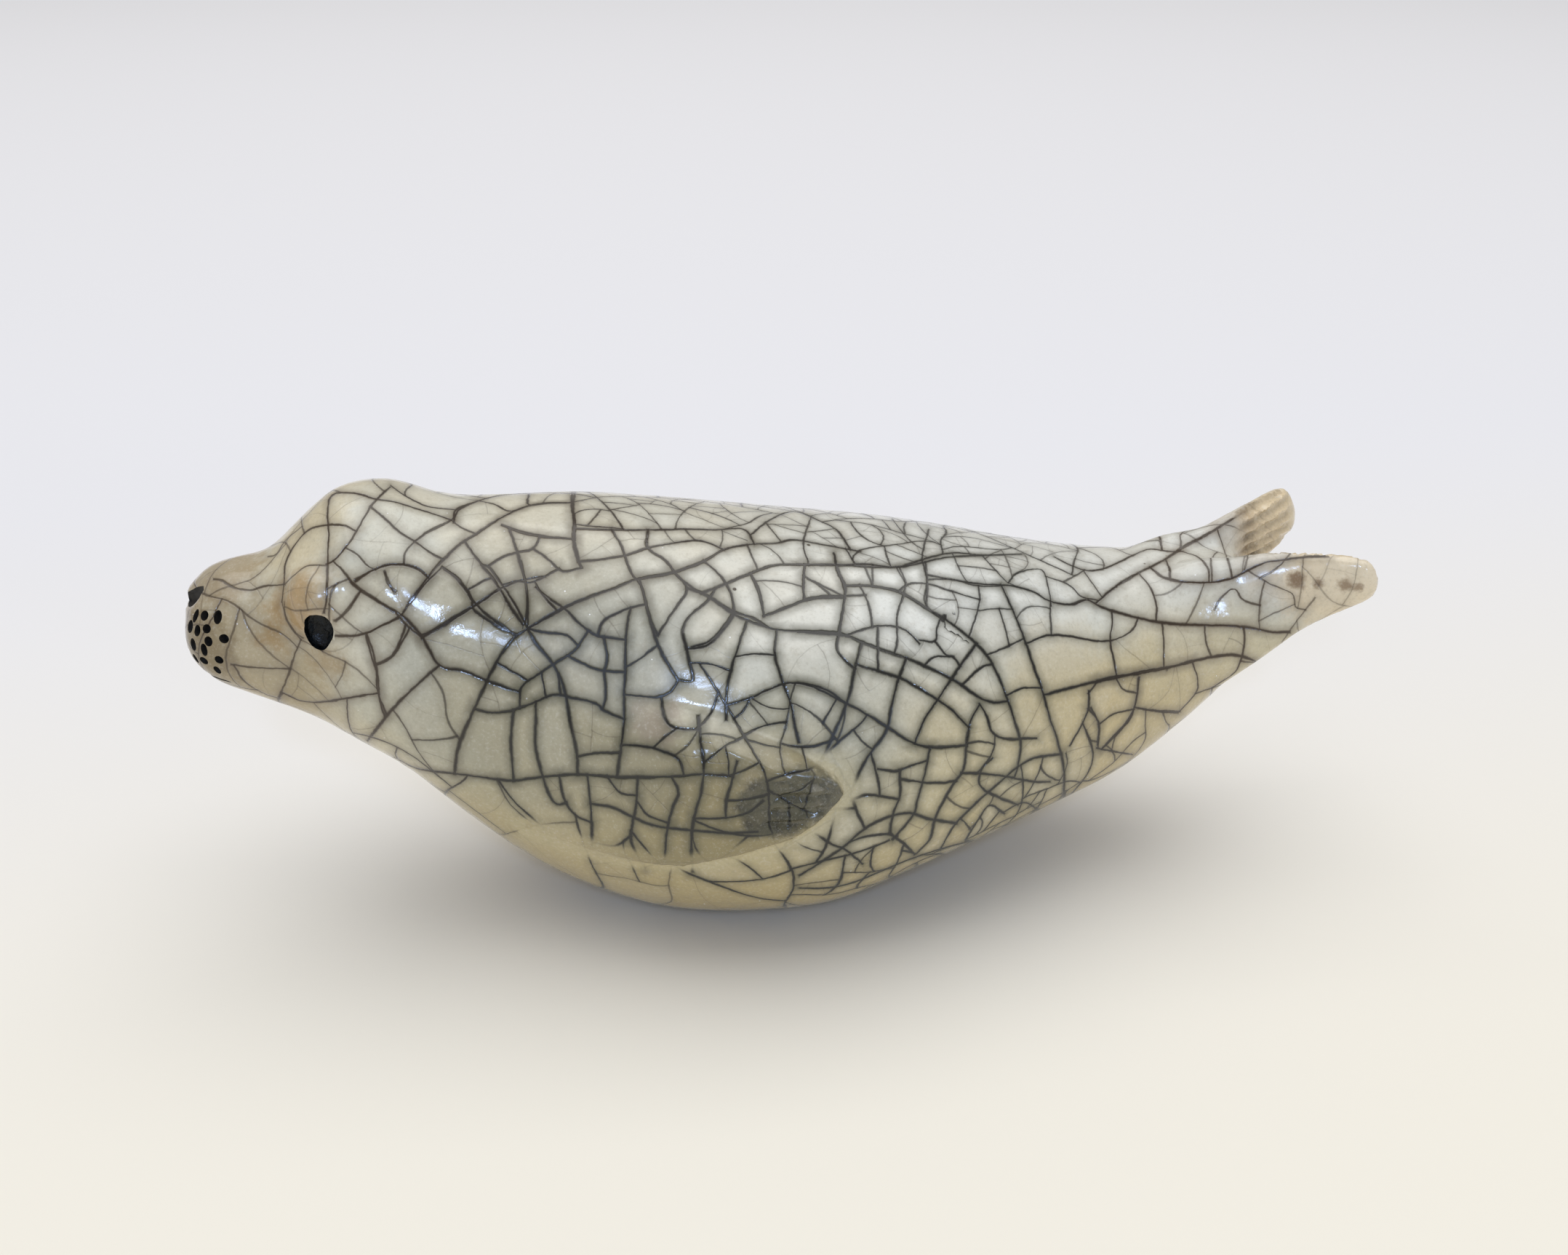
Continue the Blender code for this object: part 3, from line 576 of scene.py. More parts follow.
@dataclass(frozen=True)
class CrackleGlaze:
    """Clear ivory raku glaze over pale clay, with cracks that took up smoke."""

    name: str = "raku_crackle_glaze_smoked"
    ivory: str = "d6ceb6"
    cool: str = "c9c9bb"
    # Warm cream low on the body: partly the glaze's own tone, partly painted shade
    cream_tone_and_low_shade: str = "c6b584"
    # Painted light: near-white laid over the top of the back, most towards the tail
    chalk_painted_top_light: str = "e3e4df"
    # Painted shade: darkens the lowest part of the body towards the belly
    umber_painted_belly_shade: str = "a48f5c"
    dusk_painted_flipper_shade: str = "8e8159"
    # Painted shade on the fore flippers' face, where it turns downward
    smoke: str = "4b4a3a"
    brown_smoke: str = "7d7060"
    charcoal: str = "1f1f1d"
    brown: str = "423325"
    slots: int = 4
    half_width: float = 0.22
    fume: float = 0.95
    halo: float = 1.90
    roughness: float = 0.085
    tints: tuple[Tint, ...] = (
        Tint((-0.0690, 0.0080, 0.0450), 0.0070, 0.0190, 0.66, "a08a5e"),
        Tint((-0.0600, 0.0050, 0.0640), 0.0030, 0.0120, 0.50, "d8c496"),
        Tint((-0.0770, 0.0060, 0.0475), 0.0055, 0.0085, 0.90, "877759"),
        Tint((-0.0730, 0.0000, 0.0560), 0.0050, 0.0100, 0.65, "9a8460"),
        Tint((-0.0620, 0.0140, 0.0570), 0.0020, 0.0075, 0.90, "b4966a"),
        Tint((-0.0650, 0.0125, 0.0515), 0.0010, 0.0050, 0.70, "9c7e4e"),
        Tint((-0.0580, 0.0150, 0.0480), 0.0010, 0.0045, 0.60, "9c8050"),
        Tint((0.0870, 0.0090, 0.0500), 0.0040, 0.0085, 0.35, "c4ae90"),
        Tint((0.0950, 0.0150, 0.0500), 0.0060, 0.0120, 0.70, "ead6b2"),
        Tint((0.0650, 0.0150, 0.0270), 0.0080, 0.0220, 0.55, "cbb684"),
        Tint((0.0480, 0.0220, 0.0380), 0.0050, 0.0150, 0.40, "c9b27c"),
        Tint((-0.0129, 0.0300, 0.0437), 0.0015, 0.0055, 0.60, "a08a80"),
        Tint((-0.0280, 0.0240, 0.0460), 0.0120, 0.0300, 0.50, "8a8774"),
        Tint((0.0120, 0.0330, 0.0400), 0.0080, 0.0200, 0.25, "918e7a"),
    )
    stains: tuple[Tint, ...] = (
        Tint((0.0883, 0.0124, 0.0496), 0.0002, 0.0017, 0.80, "6b4a2c"),
        Tint((0.0912, 0.0138, 0.0497), 0.0002, 0.0015, 0.80, "70502d"),
        Tint((0.0950, 0.0155, 0.0497), 0.0002, 0.0016, 0.75, "75532f"),
        Tint((0.0966, 0.0160, 0.0496), 0.0002, 0.0012, 0.65, "75532f"),
    )
    dull: tuple[Patch, ...] = (
        Patch((-0.0193, 0.0240, 0.0505), 0.0070, 0.0120),
        Patch((0.0150, 0.0340, 0.0410), 0.0055, 0.0110, 0.9),
    )

    def material(self) -> bpy.types.Material:
        """Build the glaze's node material.

        Returns:
            The material, reading Object coordinates and the crack attributes.
        """
        made = bpy.data.materials.new(self.name)
        made.use_nodes = True
        tree = made.node_tree
        shader = tree.nodes["Principled BSDF"]
        coords = add_node(tree, "ShaderNodeTexCoord").outputs["Object"]
        core, halo, force = self.cracks(tree, coords)
        band = add_node(tree, "ShaderNodeAttribute", attribute_name="lip_band").outputs["Fac"]
        ridge = add_node(tree, "ShaderNodeAttribute", attribute_name="toe_ridge").outputs["Fac"]
        kept = math_node(tree, "MULTIPLY", ramp(tree, band, 1.6, 3.4, 0.10, 1.0), ramp(tree, ridge, 0.0, 0.5, 1.0, 0.25))
        core, halo = (math_node(tree, "MULTIPLY", value, kept) for value in (core, halo))
        base = self.ground(tree, coords)
        brownness = self.brownness(tree, coords)
        smoke = mix(tree, brownness, linear(self.smoke), linear(self.brown_smoke))
        smoked = mix(tree, math_node(tree, "MULTIPLY", halo, 0.88), base, smoke)
        brownness = math_node(tree, "MAXIMUM", brownness, ramp(tree, force, 0.25, 0.60, 0.9, 0.0))
        line = mix(tree, brownness, linear(self.charcoal), linear(self.brown))
        tree.links.new(mix(tree, core, smoked, line), shader.inputs["Base Color"])
        swell = noise(tree, coords, 0.006, 2.0)
        fine = noise(tree, coords, 0.0011, 3.0, 0.6)
        height = math_node(tree, "SUBTRACT", math_node(tree, "MULTIPLY_ADD", fine, 0.14, swell), math_node(tree, "MULTIPLY", core, 0.35))
        bump = add_node(tree, "ShaderNodeBump", {"Height": height, "Distance": 0.00022, "Strength": 0.8})
        tree.links.new(bump.outputs["Normal"], shader.inputs["Normal"])
        rough = ramp(tree, noise(tree, coords, 0.006, 3.0), 0.3, 0.7, self.roughness, self.roughness * 2.2)
        folded = self.folded(tree, coords)
        for patch in self.dull:
            share = patch.share(tree, folded, 0.0)
            rough = math_node(tree, "ADD", rough, math_node(tree, "MULTIPLY", share, 0.30))
        tree.links.new(rough, shader.inputs["Roughness"])
        shader.inputs["IOR"].default_value = 1.52
        return made

    def cracks(self, tree: bpy.types.NodeTree, coords) -> tuple[bpy.types.NodeSocket, ...]:
        """Read the crack attributes.

        Args:
            tree: the material's node tree.
            coords: Object coordinates.

        Returns:
            How much of the crack line shows, how much of its smoky halo, and how strong a crack
            it is, each from 0 to 1.
        """
        wander = math_node(tree, "MULTIPLY", math_node(tree, "SUBTRACT", noise(tree, coords, 0.0014, 2.0, 0.6), 0.5), 0.30)
        uneven = ramp(tree, noise(tree, coords, 0.0045, 3.0, 0.6), 0.3, 0.7, 0.65, 1.30)
        clear_core, clear_halo, force = None, None, None
        for slot in range(self.slots):
            reading = add_node(tree, "ShaderNodeAttribute", attribute_name=f"crack_{slot}")
            parts = add_node(tree, "ShaderNodeSeparateXYZ", {0: reading.outputs["Vector"]}).outputs
            across = math_node(tree, "ABSOLUTE", math_node(tree, "ADD", parts[0], wander))
            beyond = math_node(tree, "MULTIPLY", parts[1], -1.0)
            away = math_node(tree, "MAXIMUM", across, beyond)
            strength = parts[2]
            half = math_node(tree, "MULTIPLY", math_node(tree, "MULTIPLY_ADD", strength, 0.75, 0.25), uneven)
            width = math_node(tree, "MULTIPLY", half, self.half_width)
            share = math_node(tree, "DIVIDE", away, width)
            line = math_node(tree, "MULTIPLY", ramp(tree, share, 0.35, 1.65, 1.0, 0.0), ramp(tree, strength, 0.0, 0.8, 0.10, 1.0))
            fume = math_node(tree, "MULTIPLY", ramp(tree, away, 0.15, self.fume, 1.0, 0.0), 0.92)
            haze = math_node(tree, "MULTIPLY", ramp(tree, away, 0.0, self.halo, 1.0, 0.0), 0.60)
            smoke = math_node(tree, "MULTIPLY", math_node(tree, "MAXIMUM", fume, haze), math_node(tree, "POWER", strength, 1.5))
            kept = math_node(tree, "SUBTRACT", 1.0, line)
            kept_halo = math_node(tree, "SUBTRACT", 1.0, smoke)
            shown = math_node(tree, "MULTIPLY", line, strength)
            clear_core = kept if clear_core is None else math_node(tree, "MULTIPLY", clear_core, kept)
            clear_halo = kept_halo if clear_halo is None else math_node(tree, "MULTIPLY", clear_halo, kept_halo)
            force = shown if force is None else math_node(tree, "MAXIMUM", force, shown)
        core = math_node(tree, "SUBTRACT", 1.0, clear_core)
        return core, math_node(tree, "SUBTRACT", 1.0, clear_halo), math_node(tree, "DIVIDE", force, math_node(tree, "MAXIMUM", core, 0.05))

    def brownness(self, tree: bpy.types.NodeTree, coords) -> bpy.types.NodeSocket:
        """Share of brown in the crack lines: none on the flanks, most on the head and the tail."""
        place = add_node(tree, "ShaderNodeSeparateXYZ", {0: coords}).outputs
        head = ramp(tree, place[0], -0.060, -0.030, 0.90, 0.0)
        tail = ramp(tree, place[0], 0.040, 0.080, 0.0, 0.85)
        back = ramp(tree, place[2], 0.050, 0.066, 0.0, 0.60)
        return math_node(tree, "MAXIMUM", math_node(tree, "MAXIMUM", head, tail), back)

    def ground(self, tree: bpy.types.NodeTree, coords) -> bpy.types.NodeSocket:
        """Colour of the glaze between the cracks, with painted light on the top of the back, painted shade towards the
        belly and painted white glints.

        Args:
            tree: the material's node tree.
            coords: Object coordinates.

        Returns:
            The colour's socket.
        """
        place = add_node(tree, "ShaderNodeSeparateXYZ", {0: coords}).outputs
        cloud = ramp(tree, noise(tree, coords, 0.018, 3.0, 0.55), 0.3, 0.7)
        # Painted shade: the glaze turns warmer and darker towards the belly, partly its own warmer tone low down
        low = ramp(tree, place[2], 0.056, 0.010)
        warm_tone_and_low_shade = math_node(tree, "MULTIPLY_ADD", low, 0.8, math_node(tree, "MULTIPLY", cloud, 0.2))
        cell = add_node(tree, "ShaderNodeAttribute", attribute_name="cell_tone").outputs["Fac"]
        colour = mix(tree, cloud, linear(self.cool), linear(self.ivory))
        colour = mix(tree, warm_tone_and_low_shade, colour, linear(self.cream_tone_and_low_shade))
        # Painted light: the top of the back is whitened with chalk, more towards the tail
        back = math_node(tree, "MULTIPLY", ramp(tree, place[2], 0.040, 0.052), ramp(tree, place[0], -0.030, 0.040, 0.20, 0.90))
        colour = mix(tree, back, colour, linear(self.chalk_painted_top_light))
        # Painted shade: umber darkens the lowest part of the body
        colour = mix(tree, ramp(tree, place[2], 0.034, 0.0, 0.0, 0.75), colour, linear(self.umber_painted_belly_shade))
        colour = mix(tree, ramp(tree, cell, 0.5, 1.0, 0.0, 0.22), colour, linear("dcdbd2"))
        colour = mix(tree, ramp(tree, cell, 0.5, 0.0, 0.0, 0.24), colour, linear("b5ac94"))
        colour = self.flipper(tree, coords, colour)
        folded = self.folded(tree, coords)
        ragged = math_node(tree, "MULTIPLY", math_node(tree, "SUBTRACT", noise(tree, coords, 0.0035, 4.0, 0.65), 0.5), 0.009)
        fine = math_node(tree, "MULTIPLY", ragged, 0.50)
        for tint in self.tints:
            colour = mix(tree, tint.share(tree, folded, ragged), colour, linear(tint.colour))
        for stain in self.stains:
            colour = mix(tree, stain.share(tree, folded, fine), colour, linear(stain.colour))
        fleck = ramp(tree, noise(tree, coords, 0.0016, 3.0, 0.6), 0.5, 0.75, 0.0, 0.22)
        colour = mix(tree, fleck, colour, linear("9c9078"))
        grain = noise(tree, coords, 0.0005, 2.0, 0.7)
        colour = mix(tree, ramp(tree, grain, 0.5, 0.25, 0.0, 0.20), colour, linear("8f8875"))
        colour = mix(tree, ramp(tree, grain, 0.5, 0.75, 0.0, 0.16), colour, linear("f0eee6"))
        colour = mix(tree, self.specks(tree, coords, 0.0042, 0.00030, 0.035), colour, linear("3b2c1c"))
        # Painted glints: tiny pure white dots standing for pinhole sparkles of light
        return mix(tree, self.specks(tree, coords, 0.0016, 0.00011, 0.10), colour, linear("ffffff"))

    @staticmethod
    def folded(tree: bpy.types.NodeTree, coords) -> bpy.types.NodeSocket:
        """Object coordinates with Y made positive, so that both sides read alike."""
        place = add_node(tree, "ShaderNodeSeparateXYZ", {0: coords}).outputs
        sideways = math_node(tree, "ABSOLUTE", place[1])
        return add_node(tree, "ShaderNodeCombineXYZ", {0: place[0], 1: sideways, 2: place[2]}).outputs[0]

    @staticmethod
    def specks(tree: bpy.types.NodeTree, coords, spacing: float, size: float, share: float) -> bpy.types.NodeSocket:
        """Scattered dots.

        Args:
            tree: the material's node tree.
            coords: Object coordinates.
            spacing: distance between the places where a dot may be, in metres.
            size: a dot's radius, in metres.
            share: part of the places that have one.

        Returns:
            The dots' socket, 1 on a dot and 0 beside it.
        """
        cells = add_node(tree, "ShaderNodeTexVoronoi", {"Vector": coords, "Scale": 1 / spacing})
        chance = add_node(tree, "ShaderNodeSeparateXYZ", {0: cells.outputs["Color"]}).outputs[0]
        dot = ramp(tree, cells.outputs["Distance"], size / spacing * 0.7, size / spacing * 1.3, 1.0, 0.0)
        return math_node(tree, "MULTIPLY", dot, math_node(tree, "LESS_THAN", chance, share))

    def flipper(self, tree: bpy.types.NodeTree, coords, colour) -> bpy.types.NodeSocket:
        """Darken the fore flippers' face with painted shade and their toes with their own dark colour, and leave a
        pale band under their lips, partly painted light.

        Args:
            tree: the material's node tree.
            coords: Object coordinates.
            colour: the glaze's colour so far.

        Returns:
            The colour's socket.
        """
        inside = add_node(tree, "ShaderNodeAttribute", attribute_name="flipper").outputs["Fac"]
        toes = add_node(tree, "ShaderNodeAttribute", attribute_name="toes").outputs["Fac"]
        band = add_node(tree, "ShaderNodeAttribute", attribute_name="lip_band").outputs["Fac"]
        place = add_node(tree, "ShaderNodeSeparateXYZ", {0: coords}).outputs
        # Painted shade: dusk darkens the flipper's face below its crest and towards its tip
        face = math_node(tree, "MULTIPLY", ramp(tree, inside, -0.15, 0.15), ramp(tree, place[0], -0.030, -0.008, 0.0, 0.85))
        face = math_node(tree, "MULTIPLY", face, ramp(tree, place[2], 0.045, 0.038))
        colour = mix(tree, face, colour, linear(self.dusk_painted_flipper_shade))
        ragged = math_node(tree, "MULTIPLY_ADD", noise(tree, coords, 0.0022, 4.0, 0.65), 3.0, -1.5)
        dark = ramp(tree, math_node(tree, "ADD", toes, ragged), -0.9, 0.9, 0.0, 0.97)
        dark = math_node(tree, "MULTIPLY", dark, ramp(tree, inside, -0.15, 0.25))
        mottled = mix(tree, ramp(tree, noise(tree, coords, 0.0013, 3.0, 0.6), 0.35, 0.62), linear("201e17"), linear("433e2c"))
        colour = mix(tree, dark, colour, mottled)
        # Pale band under the lip: partly the glaze's own paler tone, partly painted light bounced up from the floor
        pale = ramp(tree, band, 1.8, 3.8, 0.35, 0.0)
        pale = math_node(tree, "MULTIPLY", pale, ramp(tree, inside, 0.1, -0.2))
        colour = mix(tree, pale, colour, linear("cfc39a"))
        groove = add_node(tree, "ShaderNodeAttribute", attribute_name="toe_groove").outputs["Fac"]
        ridge = add_node(tree, "ShaderNodeAttribute", attribute_name="toe_ridge").outputs["Fac"]
        colour = mix(tree, math_node(tree, "MULTIPLY", ridge, 0.80), colour, linear("d0b384"))
        return mix(tree, math_node(tree, "MULTIPLY", groove, 0.95), colour, linear("382612"))


@dataclass
class Skin:
    """The cast body's outer surface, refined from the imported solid.

    The sizes are the grid of the new surface and the number of smoothing passes, each of which
    moves the surface in and then out again, so that thin flippers keep their size.
    """

    grid: float = 0.00066
    passes: int = 7
    inward: float = 0.50
    outward: float = -0.52

    def build(self, glaze: bpy.types.Material) -> bpy.types.Object:
        """Copy the solid's mesh and turn its facets into an even, smooth skin.

        Args:
            glaze: the material of the whole skin.

        Returns:
            The skin, of quads.
        """
        source = frame["nodes"][NODE]
        skin = bpy.data.objects.new("glazed_body", source.data.copy())
        bpy.context.scene.collection.objects.link(skin)
        skin.data.materials.clear()
        skin.data.materials.append(glaze)
        select_only(skin)
        bpy.ops.object.mode_set(mode="EDIT")
        bpy.ops.mesh.select_all(action="SELECT")
        bpy.ops.mesh.remove_doubles(threshold=0.000005)
        bpy.ops.object.mode_set(mode="OBJECT")
        apply_modifier(skin, "REMESH", mode="VOXEL", voxel_size=self.grid)
        for _ in range(self.passes):
            apply_modifier(skin, "SMOOTH", factor=self.inward, iterations=1)
            apply_modifier(skin, "SMOOTH", factor=self.outward, iterations=1)
        log.info("skin: %d faces", len(skin.data.polygons))
        return skin


@dataclass
class Relief:
    """Fine modelling of the flippers: the fore flipper's crest, and the furrows between the toes.

    Lines are shares of the length and of the height in the side view, and alike on both sides.
    Widths and depths are in millimetres.
    """

    crest: tuple[tuple[float, float], ...] = ((0.412, 0.592), (0.440, 0.560), (0.468, 0.522), (0.498, 0.488))
    crest_width: float = 0.95
    crest_rise: float = 0.60
    knuckles: tuple[tuple[tuple[float, float], tuple[float, float]], ...] = (
        ((0.452, 0.524), (0.503, 0.508)), ((0.450, 0.490), (0.507, 0.478)),
        ((0.446, 0.455), (0.503, 0.447)), ((0.443, 0.424), (0.491, 0.418)),
    )
    furrow_width: float = 0.60
    furrow_depth: float = 0.50

    def build(self, skin: bpy.types.Object) -> None:
        """Raise the crest and sink the furrows.

        Args:
            skin: the body's skin.
        """
        low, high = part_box(NODE)
        size = np.array((high.x - low.x, high.z)) / MM
        points = read_points(skin.data, "co") / MM
        normals = read_points(skin.data, "normal")
        flat = points[:, [0, 2]] - (low.x / MM, 0)
        flank = np.clip((np.abs(points[:, 1]) - 22) / 4, 0, 1)
        crest = self.line(flat, smooth_row(np.array(self.crest) * size, 5), self.crest_width) * flank
        furrows = [self.line(flat, np.array(line) * size, self.furrow_width) * flank for line in self.knuckles]
        toes = HindToes()
        hind = toes.closeness(skin, toes.groove)
        self.press(skin, "crest", crest, self.crest_rise)
        self.press(skin, "furrows", np.max([*furrows, hind], axis=0), -self.furrow_depth)
        log.info("relief: %d points raised, %d sunk", (crest > 0.05).sum(), (np.max(furrows, axis=0) > 0.05).sum())

    @staticmethod
    def line(flat: np.ndarray, curve: np.ndarray, width: float) -> np.ndarray:
        """How near points are to a line, from 1 on it to 0 away from it and past its ends."""
        away, along = beside(flat, curve)
        return np.exp(-(away / width) ** 2) * np.clip(along / 1.5, 0, 1)

    @staticmethod
    def press(skin: bpy.types.Object, name: str, weights: np.ndarray, depth: float) -> None:
        """Move the skin along its normals by weight.

        Args:
            skin: the body's skin.
            name: the vertex group's name.
            weights: each vertex's weight.
            depth: how far a weight of 1 moves it, in millimetres.
        """
        group = skin.vertex_groups.new(name=name)
        for index in np.flatnonzero(weights > 0.02):
            group.add([int(index)], float(weights[index]), "REPLACE")
        apply_modifier(skin, "DISPLACE", strength=depth * MM, mid_level=0.0, vertex_group=name)
        skin.vertex_groups.remove(skin.vertex_groups[name])


@dataclass
class Probe:
    """Finds places on the skin from the side and from the middle of the muzzle."""

    skin: bpy.types.Object
    muzzle_depth: float = 0.0082
    muzzle_height: float = 0.0476
    tree: BVHTree = field(init=False)
    low: Vector = field(init=False)
    high: Vector = field(init=False)

    def __post_init__(self) -> None:
        """Read the skin and the solid's box."""
        bm = bmesh.new()
        bm.from_mesh(self.skin.data)
        self.tree = BVHTree.FromBMesh(bm)
        bm.free()
        self.low, self.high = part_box(NODE)

    def flank(self, share_x: float, share_z: float, side: Side) -> tuple[Vector, Vector]:
        """Place on a flank.

        Args:
            share_x: distance from the nose as a share of the length.
            share_z: height as a share of the whole height.
            side: which flank.

        Returns:
            The point and its outward normal.
        """
        x = self.low.x + share_x * (self.high.x - self.low.x)
        start = Vector((x, side.value * 0.2, share_z * self.high.z))
        point, normal, _, _ = self.tree.ray_cast(start, Vector((0, -side.value, 0)))
        return point, normal

    def muzzle(self, azimuth: float, rise: float, side: Side) -> tuple[Vector, Vector]:
        """Place on the muzzle.

        Args:
            azimuth: degrees round from straight ahead.
            rise: degrees up.
            side: which side of the muzzle.

        Returns:
            The point and its outward normal.
        """
        middle = Vector((self.low.x + self.muzzle_depth, 0, self.muzzle_height))
        a, r = math.radians(azimuth), math.radians(rise)
        away = Vector((-math.cos(a) * math.cos(r), side.value * math.sin(a) * math.cos(r), math.sin(r)))
        point, normal, _, _ = self.tree.ray_cast(middle + away * 0.1, -away)
        return point, normal


@dataclass
class Cutters:
    """Collects the tools of one finish and cuts them out of the skin together."""

    name: str
    finish: bpy.types.Material
    tools: list[bpy.types.Object] = field(default_factory=list)

    def ellipsoid(self, point: Vector, facing: Vector, sizes: tuple[float, float, float], fineness: int = 10) -> bpy.types.Object:
        """Add an ellipsoid.

        Args:
            point: its centre.
            facing: direction of its Z axis.
            sizes: its half sizes.
            fineness: rings of faces from pole to pole.

        Returns:
            The ellipsoid, for further shaping.
        """
        bpy.ops.mesh.primitive_uv_sphere_add(segments=fineness * 2, ring_count=fineness, radius=1.0)
        made = bpy.context.object
        turning = facing.to_track_quat("Z", "Y").to_matrix().to_4x4()
        made.data.transform(Matrix.Translation(point) @ turning @ Matrix.Diagonal((*sizes, 1.0)))
        self.tools.append(made)
        return made

    def rod(self, points: list[Vector], radius: float, ends: float = 0.35) -> bpy.types.Object:
        """Add a round rod along points, drawn in towards both ends.

        Args:
            points: the rod's middle line.
            radius: its radius halfway.
            ends: its radius at the ends as a share of that.

        Returns:
            The rod as a mesh.
        """
        curve = bpy.data.curves.new(self.name, "CURVE")
        curve.dimensions = "3D"
        curve.bevel_depth = radius
        curve.bevel_resolution = 3
        curve.use_fill_caps = True
        line = curve.splines.new("POLY")
        line.points.add(len(points) - 1)
        for i, (slot, point) in enumerate(zip(line.points, points)):
            share = i / (len(points) - 1)
            slot.co = (*point, 1.0)
            slot.radius = ends + (1 - ends) * math.sin(math.pi * share) ** 0.5
        made = bpy.data.objects.new(self.name, curve)
        bpy.context.scene.collection.objects.link(made)
        select_only(made)
        bpy.ops.object.convert(target="MESH")
        bpy.ops.object.mode_set(mode="EDIT")
        bpy.ops.mesh.select_all(action="SELECT")
        bpy.ops.mesh.remove_doubles(threshold=0.000001)
        bpy.ops.mesh.normals_make_consistent(inside=False)
        bpy.ops.object.mode_set(mode="OBJECT")
        self.tools.append(bpy.context.object)
        return bpy.context.object

    def cut(self, skin: bpy.types.Object) -> None:
        """Join the tools, give them the finish and cut them out of the skin."""
        bpy.ops.object.select_all(action="DESELECT")
        for tool in self.tools:
            tool.data.materials.clear()
            tool.data.materials.append(self.finish)
            tool.select_set(True)
        joined = self.tools[0]
        bpy.context.view_layer.objects.active = joined
        if len(self.tools) > 1:
            bpy.ops.object.join()
        settings = {"operation": "DIFFERENCE", "solver": "EXACT", "material_mode": "TRANSFER"}
        apply_modifier(skin, "BOOLEAN", object=joined, **settings)
        bpy.data.objects.remove(joined, do_unlink=True)
        log.info("%s: %d tools", self.name, len(self.tools))


@dataclass
class Face:
    """Eyes, whisker pits, nostrils and mouth.

    Places are shares of the body's length and height, or degrees round the middle of the muzzle.
    """

    eye: tuple[float, float] = (0.1145, 0.772)
    eye_sizes: tuple[float, float, float] = (0.0025, 0.0035, 0.0017)
    pit_radius: float = 0.00080
    pit_depth: float = 0.0018
    nostril_radius: float = 0.0013
    mouth_radius: float = 0.00050
    pits: tuple[tuple[float, float], ...] = (
        (48, 33), (59, 35), (74, 35), (43, 23), (54, 22), (64, 25), (66, 15), (80, 18),
        (49, 9), (61, 7), (58, -4), (73, -1), (46, -6), (68, -13),
    )
    nostril: tuple[tuple[float, float], ...] = ((7, 37), (20, 43), (34, 51), (48, 60))

    def build(self, skin: bpy.types.Object) -> None:
        """Cut the face into the skin.

        Args:
            skin: the body's skin.
        """
        probe = Probe(skin)
        rng = np.random.default_rng(5)
        eyes = Cutters("eyes", EYE_GLAZE.material())
        holes = Cutters("pits_and_nostrils", SMOKED_CLAY.material())
        for side in Side:
            point, normal = probe.flank(*self.eye, side)
            facing = (normal + Vector((-0.10, 0, -0.05))).normalized()
            eye = eyes.ellipsoid(point + normal * self.eye_sizes[2] * 0.15, facing, self.eye_sizes, 14)
            self.ragged(eye, point, rng)
            for azimuth, rise in self.pits:
                point, normal = probe.muzzle(azimuth, rise, side)
                sizes = (self.pit_radius * rng.uniform(0.70, 1.0), self.pit_radius * rng.uniform(0.85, 1.35), self.pit_depth)
                holes.ellipsoid(point + normal * self.pit_depth * 0.2, normal, sizes, 8)
            line = [probe.muzzle(*np.array(self.nostril[i]) + np.subtract(self.nostril[i + 1], self.nostril[i]) * t, side)
                    for i in range(len(self.nostril) - 1) for t in (0.0, 0.5)]
            holes.rod([p + n * self.nostril_radius * 0.2 for p, n in line], self.nostril_radius)
        mouth = []
        for azimuth in range(-76, 77, 4):
            side = Side.FAR if azimuth > 0 else Side.NEAR
            mouth.append(probe.muzzle(abs(azimuth), -24 - abs(azimuth) * 0.06, side))
        holes.rod([p + n * self.mouth_radius * 0.3 for p, n in mouth], self.mouth_radius)
        eyes.cut(skin)
        holes.cut(skin)

    @staticmethod
    def ragged(eye: bpy.types.Object, centre: Vector, rng: np.random.Generator) -> None:
        """Make an eye's outline uneven, as a socket pressed by hand.

        Args:
            eye: the cutter.
            centre: the eye's middle.
            rng: source of the uneven waves.
        """
        waves = [(k, rng.uniform(0.6, 1.0) * 0.1 / k, rng.uniform(0, 2 * math.pi)) for k in (2, 3, 5, 8)]
        for vertex in eye.data.vertices:
            away = vertex.co - centre
            angle = math.atan2(away.z, away.x)
            vertex.co = centre + away * (1 + sum(size * math.sin(k * angle + turn) for k, size, turn in waves))


